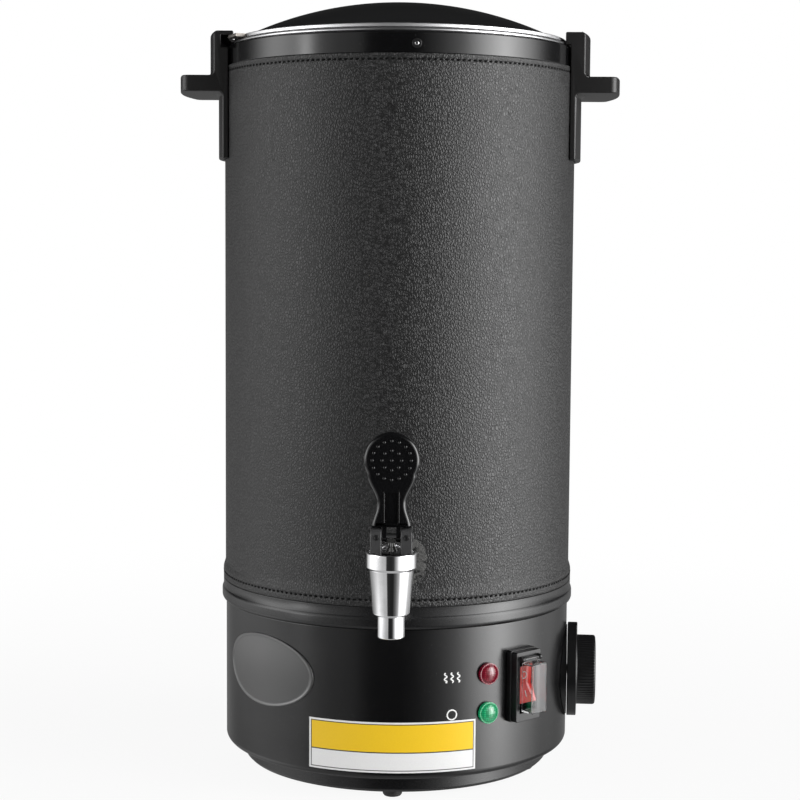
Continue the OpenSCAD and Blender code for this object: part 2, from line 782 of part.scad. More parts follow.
// Bezel between the curved housing and the flat switch frame
module switch_bezel() {
    color([0.05, 0.05, 0.05]) at(switch_az, switch_z) difference() {
        translate([0, 0, base_or - 4]) linear_extrude(height = switch_d - 4.6 - base_or + 4)
            pad(switch_w + 1.2, switch_h + 1.2, 1.6);
        translate([-window_w / 2 - 1, -window_h / 2 - 1, base_or - 9]) cube([window_w + 2, window_h + 2, 30]);
        rotate([90, 0, 0]) translate([0, 0, -60]) cylinder(r = base_or + 0.05, h = 120, $fn = 180);
    }
}

module switch_frame() {
    color([0.06, 0.06, 0.06]) at(switch_az, switch_z) difference() {
        union() {
            translate([0, 0, switch_d - 4.6]) linear_extrude(height = 4.6) pad(switch_w, switch_h, 1.2);
            translate([0, 0, well_d - 2]) block(window_w + 1.6, window_h + 1.6, switch_d - well_d);
            for (y = [-10, 0, 10]) translate([-3, y - 0.4, well_d - 10]) cube([6, 0.8, 9]);
            for (s = [-1, 1]) translate([s * (flap_w / 2 + 1.2) - 0.9, hinge_y, 0]) {
                translate([0, -1.7, switch_d - 1]) cube([1.8, 3.4, hinge_d - switch_d + 1]);
                translate([0, 0, hinge_d]) rotate([0, 90, 0]) cylinder(r = 1.7, h = 1.8, $fn = 48);
            }
        }
        translate([0, 0, well_d]) block(window_w, window_h, 40);
        translate([-window_w / 2 - 0.5, 0, rocker_axis]) rotate([0, 90, 0])
            cylinder(r = 1.5 + run, h = window_w + 1, $fn = 48);
        translate([-flap_w / 2 - 1.6, hinge_y, hinge_d]) rotate([0, 90, 0])
            cylinder(r = 0.8 + run, h = flap_w + 3.2, $fn = 24);
    }
}

// Rocker with two sloping faces, tipped so that its lower end stands out
module switch_rocker() {
    h = window_h - 10;
    lean = 3;
    color([0.8, 0.05, 0.05]) at(switch_az, switch_z, rocker_axis) rotate([-rocker_travel / 2, 0, 0]) {
        translate([-rocker_w / 2, 0, 0]) rotate([90, 0, 90]) linear_extrude(height = rocker_w)
            polygon([[-h / 2 + 2, -3], [-h / 2, 4 + lean * 0.4], [0, 3.2], [h / 2, 4 + lean * 0.4], [h / 2 - 2, -3],
                [0, -5]]);
        translate([-window_w / 2 - 0.4, 0, 0]) rotate([0, 90, 0]) cylinder(r = 1.5, h = window_w + 0.8, $fn = 48);
    }
}

// Clear box cover over the rocker, hinged along its upper edge
module switch_flap() {
    t = 0.9;
    d0 = switch_d + 0.3;
    color([0.9, 0.95, 0.97, 0.4]) at(switch_az, switch_z) {
        translate([0, 0, d0]) difference() {
            block(flap_w, flap_h, flap_out);
            translate([0, 0, -1]) block(flap_w - 2 * t, flap_h - 2 * t, flap_out - t + 1);
        }
        translate([-flap_w / 2 - 1.4, hinge_y, hinge_d]) rotate([0, 90, 0])
            cylinder(r = 0.8, h = flap_w + 2.8, $fn = 24);
        translate([-flap_w / 2, hinge_y, hinge_d]) rotate([0, 90, 0]) cylinder(r = 1.3, h = flap_w, $fn = 48);
        translate([-flap_w / 2, flap_h / 2 - 0.5, d0 + 0.3]) cube([flap_w, hinge_y - flap_h / 2 + 0.5, 1.2]);
    }
}

module terminal_block() {
    color("ivory") translate([0, block_y, pan_floor]) difference() {
        block(3 * pole_w, 18, block_h);
        for (x = [-pole_w, 0, pole_w]) translate([x, 0, block_h - 5]) cylinder(r = 1.4, h = 8, $fn = 24);
    }
}

module earth_screw() {
    color("goldenrod") translate([earth_x, block_y, pan_floor]) {
        cylinder(r = 4.4, h = 1.6, $fn = 6);
        cylinder(r = 2, h = 9, $fn = 24);
    }
}

module cable_gland() {
    color([0.1, 0.1, 0.1]) at(180, gland_z) difference() {
        union() {
            translate([0, 0, base_or + 0.4]) cylinder(r = 11, h = 5, $fn = 6);
            translate([0, 0, base_or + 5]) cylinder(r1 = 9, r2 = 6.5, h = 9);
            translate([0, 0, base_ir - 9]) cylinder(r = 8, h = base_or - base_ir + 10);
        }
        translate([0, 0, base_ir - 10]) cylinder(r = 3.8, h = 60);
    }
}

module gland_nut() {
    color([0.1, 0.1, 0.1]) at(180, gland_z, base_ir - 5.6) difference() {
        cylinder(r = 11, h = 5, $fn = 6);
        translate([0, 0, -1]) cylinder(r = 8 + run, h = 8);
    }
}

module wiring() {
    r = 1.1;
    screw_top = pan_floor + block_h - 4.9;
    over = pan_floor + block_h + 12;
    pins = well_d - 10.1;
    tab = knob_z - 12;
    pin_z = elem_z - 16.1;
    pin_a = elem_circle * [cos(cold_az + 12), sin(cold_az + 12), 0];
    pin_b = elem_circle * [cos(cold_az - 12), sin(cold_az - 12), 0];
    color("firebrick") run_wire([[pole_w, block_y, screw_top], [pole_w, block_y, over], [40, -30, over],
        wall_point(switch_az, pins - 5, switch_z - 10), wall_point(switch_az, pins, switch_z - 10)], r);
    color("firebrick") run_wire([wall_point(switch_az, pins, switch_z + 10),
        wall_point(switch_az, pins - 5, switch_z + 10), [62, -32, switch_z + 14], [72, -20, knob_z - 2],
        wall_point(knob_az, thermo_back - 6, tab), wall_point(knob_az, thermo_back, tab)], r);
    color("royalblue") run_wire([[0, block_y, screw_top], [0, block_y, over], [-6, 30, over + 26],
        pin_b + [0, 0, pin_z - 30],
        pin_b + [0, 0, pin_z]], r);
    color("sienna") run_wire([wall_point(knob_az, thermo_back, tab, 8), wall_point(knob_az, thermo_back - 6, tab, 8),
        [50, 10, tab - 8], [-20, -26, tab + 16], pin_a + [0, 0, pin_z - 26], pin_a + [0, 0, pin_z]], r);
    color("yellowgreen") run_wire([[-pole_w, block_y, screw_top], [-pole_w, block_y, over], [earth_x, block_y, over],
        [earth_x, block_y, pan_floor + 9.1]], r);
}

// ---- Badges ----
// Sheet on the housing between two angles, from lo to hi
module wall_sheet(az0, az1, lo, hi, t) {
    translate([0, 0, lo]) rotate([0, 0, az0 - 90]) rotate_extrude(angle = az1 - az0, $fn = 180)
        translate([base_or + 0.1, 0]) square([t, hi - lo]);
}

module oval_badge() {
    half_a = badge_a / base_or * 180 / PI;
    points = 64;
    oval = [for (i = [0 : points - 1]) [base_or * sin(half_a) * cos(360 * i / points),
        badge_b * sin(360 * i / points)]];
    color([0.2, 0.2, 0.21]) intersection() {
        wall_sheet(badge_az - half_a - 2, badge_az + half_a + 2, badge_z - badge_b - 1, badge_z + badge_b + 1, badge_t);
        at(badge_az, badge_z, base_or * 0.6) linear_extrude(height = base_or) polygon(oval);
    }
}

module blank_label() {
    half_a = label_w / 2 / base_or * 180 / PI;
    color("gold") wall_sheet(-half_a, half_a, label_z, label_z + label_h, label_t);
}

// ---- Tap ----
module tap_axis(z) {
    translate([0, stem_y, z]) children();
}

module tap_body() {
    shoulder_d = shell_or + 3.3;
    color("gainsboro") difference() {
        union() {
            tap_axis(collar_z) cylinder(r = collar_r, h = collar_h);
            tap_axis(taper_z) cylinder(r1 = taper_top_r, r2 = collar_r, h = collar_z - taper_z);
            tap_axis(spout_top) cylinder(r1 = taper_foot_r, r2 = taper_top_r, h = taper_h);
            tap_axis(spout_top - 1) cylinder(r1 = taper_foot_r - 1.2, r2 = taper_foot_r, h = 1);
            tap_axis(spout_z + 1) cylinder(r = spout_r, h = spout_h);
            tap_axis(spout_z) cylinder(r1 = spout_r - 0.8, r2 = spout_r, h = 1);
            at(0, shank_z, pot_flat - 13) cylinder(r = shank_r, h = tap_reach - 8 - pot_flat + 13);
            at(0, shank_z, shoulder_d) cylinder(r = 12, h = 3);
        }
        tap_axis(bonnet_z - 9) cylinder(r = taper_top_r - 2.2, h = 40);
        tap_axis(bonnet_z - 3) cylinder(r = taper_top_r, h = 40);
        tap_axis(seat_z) cylinder(r = taper_foot_r - 1.6, h = bonnet_z - seat_z);
        tap_axis(spout_z - 1) cylinder(r = spout_bore_r, h = 60);
        at(0, shank_z, pot_flat - 14) cylinder(r = shank_bore_r, h = tap_reach - pot_flat + 14);
    }
}

module tap_bonnet() {
    color([0.12, 0.12, 0.12]) difference() {
        union() {
            tap_axis(bonnet_z - 2.9) cylinder(r = taper_top_r - fit, h = 2.9);
            tap_axis(bonnet_z - 8.9) cylinder(r = taper_top_r - 2.2 - fit, h = 8);
            for (s = [-1, 1]) {
                intersection() {
                    tap_axis(bonnet_z - 1) cylinder(r = taper_top_r - fit, h = 4);
                    translate([s * (ear_in + ear_w / 2) - ear_w / 2, pivot_y - ear_r, bonnet_z - 1])
                        cube([ear_w, 2 * ear_r, 4]);
                }
                translate([s * (ear_in + ear_w / 2) - ear_w / 2, pivot_y, 0]) {
                    translate([0, -ear_r, ear_foot]) cube([ear_w, 2 * ear_r, pivot_z - ear_foot]);
                    translate([0, 0, pivot_z]) rotate([0, 90, 0]) cylinder(r = ear_r, h = ear_w, $fn = 64);
                }
            }
        }
        translate([-30, pivot_y, pivot_z]) rotate([0, 90, 0]) cylinder(r = 1.5 + run, h = 60, $fn = 48);
        tap_axis(bonnet_z - 20) cylinder(r = stem_r + run, h = 40);
    }
}

module pivot_pin() {
    half = ear_in + ear_w;
    color("silver") translate([-half, pivot_y, pivot_z]) rotate([0, 90, 0]) cylinder(r = 1.5, h = 2 * half, $fn = 48);
}

// Half width of the lever at a height above the pivot
function lever_half(z, foot_w) = z < 19 ? neck_w + (foot_w - neck_w) * (0.5 + 0.5 * cos(180 * (z - 5.6) / 13.4))
    : neck_w + (paddle_r - 2 - neck_w) * (0.5 - 0.5 * cos(180 * (z - 19) / (paddle_up - 27)));

module lever_outline() {
    z0 = ear_r + 0.6;
    z1 = paddle_up - 9;
    steps = 18;
    foot_w = ear_in + ear_w - 0.8;
    side = [for (i = [0 : steps]) let (z = z0 + (z1 - z0) * i / steps) [lever_half(z, foot_w), z]];
    other = [for (i = [steps : -1 : 0]) [-side[i][0], side[i][1]]];
    polygon(concat(side, other));
    translate([0, paddle_up]) circle(r = paddle_r);
}

module tap_lever() {
    cheek_out = ear_in - play;
    cheek_in = 2.9;
    slot_w = 7.8;
    color([0.08, 0.08, 0.08]) translate([0, pivot_y, pivot_z]) difference() {
        union() {
            rotate([90, 0, 0]) translate([0, 0, -lever_t / 2]) linear_extrude(height = lever_t) lever_outline();
            for (x = [cheek_in, -cheek_out]) translate([x, 0, 0]) rotate([90, 0, 90])
                linear_extrude(height = cheek_out - cheek_in) {
                    circle(r = hub_r, $fn = 48);
                    translate([-3, 0]) square([6, 7]);
                    rotate(crank_0) translate([0, -1.8]) square([crank_r, 3.6]);
                    rotate(crank_0) translate([crank_r, 0]) circle(r = 2.1, $fn = 48);
                }
        }
        translate([-30, 0, 0]) rotate([0, 90, 0]) cylinder(r = 1.5 + run, h = 60, $fn = 48);
        rotate([crank_0, 0, 0]) translate([-30, crank_r, 0]) rotate([0, 90, 0])
            cylinder(r = 1 + run, h = 60, $fn = 32);
        translate([-slot_w / 2, -lever_t / 2 - 1, 8]) cube([slot_w, 2.2, 18]);
    }
}

module crank_pin() {
    half = ear_in - play - 0.1;
    color("silver") translate([0, pivot_y, pivot_z]) rotate([crank_0, 0, 0])
        translate([-half, crank_r, 0]) rotate([0, 90, 0]) cylinder(r = 1, h = 2 * half, $fn = 32);
}

module tap_stem() {
    head_z = pivot_z + crank_r * sin(crank_0);
    head_w = 5;
    color("silver") difference() {
        union() {
            tap_axis(seat_z + 3) cylinder(r = stem_r, h = head_z - seat_z - 3);
            tap_axis(head_z - 2.4) block(head_w, 5, 4.8);
        }
        translate([-head_w, stem_y - 1.7, head_z - 1.15]) cube([2 * head_w, 3.4, 2.3]);
    }
}

module seat_cup() {
    color("white") difference() {
        tap_axis(seat_z + 0.05) cylinder(r = taper_foot_r - 1.6 - play, h = 4.6);
        tap_axis(seat_z + 3) cylinder(r = stem_r + run, h = 10);
    }
}

module ring_on_shank(d0, d1, ro) {
    at(0, shank_z) difference() {
        translate([0, 0, d0]) cylinder(r = ro, h = d1 - d0);
        translate([0, 0, d0 - 1]) cylinder(r = shank_r + 0.15, h = d1 - d0 + 2);
    }
}

module tap_washer() {
    color([0.07, 0.07, 0.07]) difference() {
        ring_on_shank(shell_or - 3, shell_or + 3.2, washer_r);
        cylinder(r = shell_or + 0.05, h = 400, $fn = 180);
    }
}

module inner_washer() {
    color("white") intersection() {
        ring_on_shank(pot_flat - 2, pot_r + 2, 12.5);
        cylinder(r = pot_r - 0.1, h = 400, $fn = 180);
    }
}

module shank_spacer() {
    color("ivory") difference() {
        ring_on_shank(pot_or - 3, shell_ir + 3, 13);
        cylinder(r = pot_or + 0.1, h = 400, $fn = 180);
        difference() {
            cylinder(r = shell_ir + 20, h = 400, $fn = 180);
            translate([0, 0, -1]) cylinder(r = shell_ir - 0.1, h = 402, $fn = 180);
        }
    }
}

module shank_nut() {
    color("silver") at(0, shank_z, pot_flat - 8) difference() {
        cylinder(r = 13, h = 6, $fn = 6);
        translate([0, 0, -1]) cylinder(r = shank_r + run, h = 8);
    }
}

pot();
felt_sleeve();
outer_shell();
leather_jacket();
rim_band();
band_rivets();
rivet_eyelets();
lid_rim();
lid_dome();
lid_seal();
handle_left();
handle_right();
handle_screws();
transition_ring();
base_housing();
bottom_pan();
rubber_feet();
foot_screws();
tie_studs();
tie_nuts();
heat_spreader();
heating_element();
element_clamp();
heat_shield();
thermal_cutout();
sensor_bulb();
capillary_tube();
thermostat_body();
thermostat_spindle();
knob();
knob_seat();
red_lamp_lens();
green_lamp_lens();
lamp_bodies();
lamp_nuts();
switch_bezel();
switch_frame();
switch_rocker();
switch_flap();
terminal_block();
earth_screw();
wiring();
cable_gland();
gland_nut();
oval_badge();
blank_label();
tap_body();
tap_bonnet();
tap_lever();
pivot_pin();
crank_pin();
tap_stem();
seat_cup();
tap_washer();
inner_washer();
shank_spacer();
shank_nut();
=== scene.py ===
"""Looks of an electric wax melter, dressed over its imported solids.

The solids give every place and size. Each piece that shows is worked out again here as a surface with
its real edges, stitches and grain; the pieces inside keep their own mesh and get a finish.
Lengths are in millimetres while a shape is worked out and in metres in the mesh.
Angles round the urn are degrees from the front, where the tap is, towards the dial.
"""
import json
import math

import bmesh
import bpy
import numpy as np
from mathutils import Matrix


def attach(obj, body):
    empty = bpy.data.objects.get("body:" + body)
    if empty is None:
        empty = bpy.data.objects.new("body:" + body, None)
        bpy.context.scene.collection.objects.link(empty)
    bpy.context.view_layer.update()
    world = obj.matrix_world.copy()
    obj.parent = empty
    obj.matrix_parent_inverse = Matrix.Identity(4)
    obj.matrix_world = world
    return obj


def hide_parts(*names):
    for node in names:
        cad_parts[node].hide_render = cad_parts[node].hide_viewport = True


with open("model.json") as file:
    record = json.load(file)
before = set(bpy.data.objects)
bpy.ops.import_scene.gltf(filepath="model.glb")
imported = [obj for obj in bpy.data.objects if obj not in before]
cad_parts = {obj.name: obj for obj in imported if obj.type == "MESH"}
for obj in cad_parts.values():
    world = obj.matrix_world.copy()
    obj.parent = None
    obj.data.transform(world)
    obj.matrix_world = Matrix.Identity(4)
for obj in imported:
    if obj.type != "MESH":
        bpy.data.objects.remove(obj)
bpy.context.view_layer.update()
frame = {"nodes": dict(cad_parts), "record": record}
NODES = frame["nodes"]
SLOT_OF = {part["node"]: part["material_slot"] for part in frame["record"]["subparts"]}
FINISHES = {}

# Sizes repeated from the solids, in millimetres
BENCH_TO = {"pan": 4.7, "base": 16.2, "ring": 110.0, "shelf": 120.0, "jacket": 124.0, "floor": 136.8,
            "rim": 456.0, "band": 468.8, "lid": 471.7, "dome": 474.1, "apex": 498.1}
JACKET_R, HEM_R, LEATHER_IR = 114.0, 115.3, 112.8
BAND_R, BASE_R, BASE_IR, RING_R = 112.9, 113.5, 111.0, 116.2
LID_R, DOME_R, BEAD_R = 108.0, 103.2, 1.25
TAP_Y, SHANK_Z, PIVOT_Y, PIVOT_Z = -150.0, 152.0, -154.468, 174.4
TAP_TO = {"spout": 113.6, "cone": 127.8, "seat": 142.0, "bush": 153.9, "taper": 154.1, "collar": 155.4,
          "recess": 159.9, "top": 164.4}
COLLAR_R, TAPER_R, CONE_R, SPOUT_R = 15.0, 13.3, 10.9, 8.1
WASHER_HOLE_R = 13.2
LAMP_AZ, SWITCH_AZ, KNOB_AZ, BADGE_AZ = 31.0, 44.0, 86.0, -46.0
LAMP_Z, SWITCH_Z, KNOB_Z, RIVET_Z = {"red": 80.0, "green": 55.5}, 70, 62, 461.6
LABEL_LOW, LABEL_HIGH, LABEL_HALF = 21, 52.5, 53
FOOT_CIRCLE_R, FOOT_COUNT = 89, 5
PADDLE_UP, PADDLE_R, LEVER_FACE = 44.5, 16.3, 4.0
STITCH_ROWS = ((452.4, JACKET_R), (128.3, HEM_R))
STITCHES = 200
TAU = 2 * math.pi


# ---- Camera, background and light ----
def aim_camera():
    """Stands the camera 1183 mm from the urn's axis, 1.2 degrees round and 344 mm up, pitched and rolled."""
    turn, pitch, roll = math.radians(1.2), 0.0877, 0.0068
    away, aside, high = 1.1828, 0.00123, 0.3441
    right = np.array([math.cos(turn), math.sin(turn), 0])
    ahead = np.array([-math.sin(turn), math.cos(turn), 0])
    up_z = np.array([0, 0, 1])
    forward = math.cos(pitch) * ahead - math.sin(pitch) * up_z
    up = math.sin(pitch) * ahead + math.cos(pitch) * up_z
    side = math.cos(roll) * right + math.sin(roll) * up
    top = math.cos(roll) * up - math.sin(roll) * right
    spot = -away * ahead + aside * right + high * up_z
    data = bpy.data.cameras.new("photo_camera")
    data.lens = 80.49
    data.sensor_width = 36
    data.clip_end = 50
    camera = bpy.data.objects.new("photo_camera", data)
    bpy.context.scene.collection.objects.link(camera)
    rows = np.column_stack([side, top, -forward, spot])
    camera.matrix_world = Matrix([list(row) for row in rows] + [[0, 0, 0, 1]])
    bpy.context.scene.camera = camera


class Value:
    """A number inside a finish. Python operators on it add the Math nodes that work it out."""

    def __init__(self, finish, socket):
        self.finish = finish
        self.socket = socket

    def math(self, operation, *others):
        return self.finish.node("Math", {"operation": operation}, dict(enumerate((self,) + others)))

    def __add__(self, other):
        return self.math("ADD", other)

    def __mul__(self, other):
        return self.math("MULTIPLY", other)

    __radd__, __rmul__ = __add__, __mul__

    def __sub__(self, other):
        return self.math("SUBTRACT", other)

    def __rsub__(self, other):
        return self.finish.node("Math", {"operation": "SUBTRACT"}, {0: other, 1: self})

    def __truediv__(self, other):
        return self.math("DIVIDE", other)

    def __neg__(self):
        return self.math("MULTIPLY", -1)

    def smooth(self, low, high):
        """0 below low, 1 above high, and an even S between them."""
        ends = {"Value": self, "From Min": low, "From Max": high}
        return self.finish.node("MapRange", {"interpolation_type": "SMOOTHSTEP"}, ends)

    def output(self, name):
        return Value(self.finish, self.socket.node.outputs[name])


class Finish:
    """One node tree. node() adds any node, and the other methods are short ways to the common ones."""

    def __init__(self, block, coordinates="Object"):
        block.use_nodes = True
        self.block = block
        self.tree = block.node_tree
        self.tree.nodes.clear()
        self.spot = self.node("TexCoord", output=coordinates)

    def node(self, kind, settings=None, inputs=None, output=0):
        made = self.tree.nodes.new("ShaderNode" + kind)
        for name, setting in (settings or {}).items():
            if name == "stops":
                ramp = made.color_ramp.elements
                while len(ramp) < len(setting):
                    ramp.new(0.5)
                for element, (place, level) in zip(ramp, setting):
                    element.position = place
                    element.color = grey(level)
            else:
                setattr(made, name, setting)
        for name, value in (inputs or {}).items():
            if isinstance(value, Value):
                self.tree.links.new(value.socket, made.inputs[name])
            else:
                made.inputs[name].default_value = value
        return Value(self, made.outputs[output])

    def end(self, kind, shader):
        made = self.tree.nodes.new("ShaderNode" + kind)
        self.tree.links.new(shader.socket, made.inputs["Surface"])

    def xyz(self):
        x = self.node("SeparateXYZ", {}, {0: self.spot})
        return x, x.output("Y"), x.output("Z")

    def angle(self):
        """Angle round the urn from the front, in radians."""
        x, y, _ = self.xyz()
        return x.math("ARCTAN2", -y)

    def radius(self):
        x, y, _ = self.xyz()
        return (x * x + y * y).math("SQRT")

    def noise(self, scale, detail=2.0, rough=0.5, at=None, distortion=0.0):
        inputs = {"Vector": at or self.spot, "Scale": scale, "Detail": detail, "Roughness": rough,
                  "Distortion": distortion}
        return self.node("TexNoise", {}, inputs)

    def cells(self, scale, feature="F1", random=1.0, at=None):
        inputs = {"Vector": at or self.spot, "Scale": scale, "Randomness": random}
        return self.node("TexVoronoi", {"feature": feature}, inputs)

    def mix(self, factor, a, b):
        return self.node("Mix", {"data_type": "RGBA"}, {0: factor, 6: a, 7: b}, output=2)

    def bump(self, height, depth):
        """depth is in millimetres for a height of 1."""
        inputs = {"Height": height, "Distance": depth / 1000, "Strength": 1.0}
        return self.node("Bump", {}, inputs, output="Normal")

    def surface(self, **sockets):
        """The plain shader; a socket's name is written with underscores."""
        named = {key.replace("_", " "): value for key, value in sockets.items()}
        shader = self.node("BsdfPrincipled", {}, named)
        self.end("OutputMaterial", shader)
        return self.block


def grey(level, tint=(1, 1, 1)):
    return (level * tint[0], level * tint[1], level * tint[2], 1.0)


def light_studio():
    """Soft studio round the urn: a tall bright panel at the dial's side, and a dark front.

    The other side has a dim panel with a thin bright strip. The level is a ramp over the angle round the urn.
    It falls below the horizon, most at the panel's foot, and the rear is dark above the horizon. The camera
    and clear pieces see plain white. Reflections see a low grey behind, and matt surfaces get a little more
    from the front.
    """
    scene = bpy.context.scene
    scene.view_settings.view_transform = "Standard"
    world = bpy.data.worlds.new("studio")
    scene.world = world
    sky = Finish(world, "Generated")
    levels = [(-180, .35), (-145, .4), (-120, .85), (-95, 1.5), (-79, 1.4), (-62, .9), (-40, .58),
              (-24, .52), (-20, .03), (0, .02), (13, .04), (19, .25), (27, .55), (42, 1.7), (56, 6.5),
              (72, 11.5), (89, 5), (110, 1.4), (140, .6), (180, .35)]
    brightest = 12
    stops = [((degrees + 180) / 360, level / brightest) for degrees, level in levels]
    around = sky.angle()
    turn = around / TAU + 0.5
    x, y, z = sky.xyz()
    side = sky.node("ValToRGB", {"stops": stops}, {"Fac": turn}) * brightest
    beside = (around + math.radians(83)) / math.radians(25)
    side = side + 2.4 * (-(beside * beside)).math("EXPONENT") * z.smooth(-0.12, 0.09)
    strip = (around + math.radians(62)) / math.radians(5)
    strip_height = z.smooth(-0.17, -0.1) * (1 - z.smooth(0.15, 0.25))
    side = side + 5.0 * (-(strip * strip)).math("EXPONENT") * strip_height
    right = x.smooth(-0.2, 0.4)
    dip = (-z).smooth(0.2, 0.25) * (1 - (-z).smooth(0.3, 0.36))
    foot = 0.6 * dip * (1 - right) + 0.75 * (-z).smooth(0.17, 0.36) * right
    rear = around.math("ABSOLUTE").smooth(1.5, 2.1) * z.smooth(0.0, 0.06)
    side = side * (1 - foot) * (1 - 0.93 * rear)
    above = z.smooth(0.42, 0.72)
    below = (-z).smooth(0.5, 0.85)
    level = side * (1 - above) * (1 - below) + 0.05 * above + 0.5 * below
    rays = sky.node("LightPath", output="Is Camera Ray")
    low_behind = around.math("ABSOLUTE").smooth(2.1, 2.6) * (-z).smooth(-0.03, 0.03)
    behind = low_behind * rays.output("Is Glossy Ray")
    level = level + behind * (0.3 - level)
    level = level + 0.24 * (-y).smooth(-0.3, 0.5) * rays.output("Is Diffuse Ray")
    plain = rays.math("MAXIMUM", rays.output("Is Transmission Ray"))
    light = sky.node("Background", {}, {"Color": level + plain * (1 - level), "Strength": 1.0})
    sky.end("OutputWorld", light)


def lay_floor():
    """Pale floor: a ring grid whose rings widen outwards. It keeps the shadow and fades to white far off."""
    rings = np.concatenate([[0.0], np.geomspace(60, 9000, 40)])
    grid = spin(np.column_stack([rings, np.zeros(41)]), 96)
    floor = piece("floor", *skin(grid, True, False))
    for face in floor.data.polygons:
        if face.normal.z < 0:
            face.flip()
    cloth = Finish(bpy.data.materials.new("pale_floor"))
    far = cloth.radius().smooth(0.2, 0.9)
    seen = cloth.node("LightPath", output="Is Camera Ray") * (0.92 + 0.08 * far)
    matt = cloth.node("BsdfDiffuse", {}, {"Color": grey(0.86)})
    white = cloth.node("Emission", {}, {"Color": grey(1.0), "Strength": 1.0})
    both = cloth.node("MixShader", {}, {0: seen, 1: matt, 2: white})
    cloth.end("OutputMaterial", both)
    floor.data.materials.append(cloth.block)
    floor.visible_glossy = False


# ---- Finishes ----
def finish(slot):
    """Starts the finish of one material slot and keeps it under the slot's name."""
    made = Finish(bpy.data.materials.new(slot))
    FINISHES[slot] = made.block
    return made


def moulded(slot, colour, rough, grain=0.35, depth=0.012, mottle=0.12, **more):
    """Moulded plastic or rubber: a fine eroded grain, slow changes of tone and small scuffs in the gloss.

    The grain's size and depth are in millimetres.
    """
    f = finish(slot)
    slow = f.noise(26, 3)
    fine = f.noise(1000 / grain, 3, 0.6)
    scuff = f.noise(140, 4, 0.7, distortion=0.6).smooth(0.58, 0.75)
    dark = grey(1 - mottle, colour)
    pale = tuple(c * (1 + mottle) + 0.002 for c in colour) + (1,)
    return f.surface(Base_Color=f.mix(slow, dark, pale), Roughness=rough + 0.1 * (fine - 0.5) + 0.06 * scuff,
                     Normal=f.bump(fine, depth), **more)


def enamelled(slot, colour, rough, peel=0.02):
    """Gloss enamel: a very slight orange peel, faint polishing haze and a few specks of dust."""
    f = finish(slot)
    waves = f.noise(260, 2, 0.4)
    haze = f.noise(34, 4, 0.6).smooth(0.35, 0.8)
    dust = f.noise(1500, 1, 0.5).smooth(0.74, 0.8)
    base = f.mix(dust * 0.35, grey(1, colour), grey(0.12))
    return f.surface(Base_Color=base, Roughness=rough + 0.05 * haze + 0.25 * dust, Normal=f.bump(waves, peel))


def brushed(slot, colour, rough, line=0.25):
    """Metal brushed round the urn: noise over radius and height that hardly changes along the angle."""
    f = finish(slot)
    _, _, z = f.xyz()
    stretch = f.node("CombineXYZ", {}, {0: f.radius() * 1000, 1: z * 1000, 2: f.angle() * 6})
    lines = f.noise(1 / line, 4, 0.65, at=stretch)
    slow = f.noise(16, 3)
    base = f.mix(lines * 0.6 + slow * 0.4, grey(0.8, colour), grey(1, colour))
    return f.surface(Base_Color=base, Metallic=1.0, Roughness=rough + 0.14 * (lines - 0.5) + 0.06 * slow,
                     Normal=f.bump(lines, 0.004))


def polished(slot, colour, rough):
    """Plated or drawn metal: bright, with soft water marks and fine hairlines in the gloss."""
    f = finish(slot)
    marks = f.noise(90, 4, 0.6).smooth(0.45, 0.8)
    hair = f.noise(2600, 2, 0.6)
    base = f.mix(marks, grey(1, colour), grey(0.9, colour))
    return f.surface(Base_Color=base, Metallic=1.0, Roughness=rough + 0.05 * marks + 0.05 * hair,
                     Normal=f.bump(hair, 0.001))


def pebbled_leather(slot):
    """Embossed leatherette: irregular pebbles about 1.5 mm wide and 2.2 mm high, with sharp valleys between.

    Smaller pebbles, pores and slow creases add to the height. The valleys are painted dark as shade and the
    pebble tops paler as a painted highlight; in slow patches the tops are paler still.
    """
    f = finish(slot)
    bend = f.noise(220, 2)
    swing = f.node("VectorMath", {"operation": "SCALE"}, {0: bend.output("Color"), "Scale": 0.0012})
    moved = f.node("VectorMath", {"operation": "ADD"}, {0: f.spot, 1: swing})
    place = f.node("VectorMath", {"operation": "MULTIPLY"}, {0: moved, 1: (1, 1, 0.66)})
    edge = f.cells(680, "DISTANCE_TO_EDGE", 1.0, at=place)
    pebble = edge.smooth(0.0, 0.3)
    small = f.cells(1300, "DISTANCE_TO_EDGE", 1.0, at=place).smooth(0.0, 0.3)
    pores = f.noise(3600, 2, 0.6)
    crease = f.noise(38, 5, 0.62, distortion=1.2)
    height = 0.85 * pebble + 0.1 * small + 0.05 * pores + 0.2 * crease
    # painted shade in the valleys between the pebbles, and a painted highlight on their tops
    grain_with_painted_shade = f.mix(pebble, grey(0.001), grey(0.017, (1, 1.0, 1.02)))
    # pebble tops mixed paler still where the slow crease noise is high
    base = f.mix(crease.smooth(0.4, 0.75) * 0.5 * pebble, grain_with_painted_shade, grey(0.024))
    return f.surface(Base_Color=base, Roughness=0.52 - 0.12 * pebble + 0.08 * (crease - 0.5),
                     Normal=f.bump(height, 0.17))


def waxed_thread(slot):
    """Twisted thread: slanting strands from a wave over height and angle together."""
    f = finish(slot)
    _, _, z = f.xyz()
    strand = ((f.angle() * JACKET_R + z * 1000) * 9).math("SINE")
    fuzz = f.noise(2400, 3, 0.7)
    base = f.mix(fuzz, grey(0.001), grey(0.006))
    return f.surface(Base_Color=base, Specular_IOR_Level=0.1, Roughness=0.65 + 0.2 * fuzz,
                     Normal=f.bump(strand * 0.5 + fuzz, 0.05))


def cut_edge(slot):
    """Cut edge of the leatherette: pale grey backing fibres with dark flecks."""
    f = finish(slot)
    fibre = f.noise(900, 5, 0.75, distortion=2.0)
    fleck = f.noise(320, 3, 0.6).smooth(0.5, 0.66)
    base = f.mix(fleck, f.mix(fibre, grey(0.012), grey(0.14, (1, 0.99, 0.96))), grey(0.006))
    return f.surface(Base_Color=base, Roughness=0.85 + 0.1 * fibre, Normal=f.bump(fibre, 0.3))


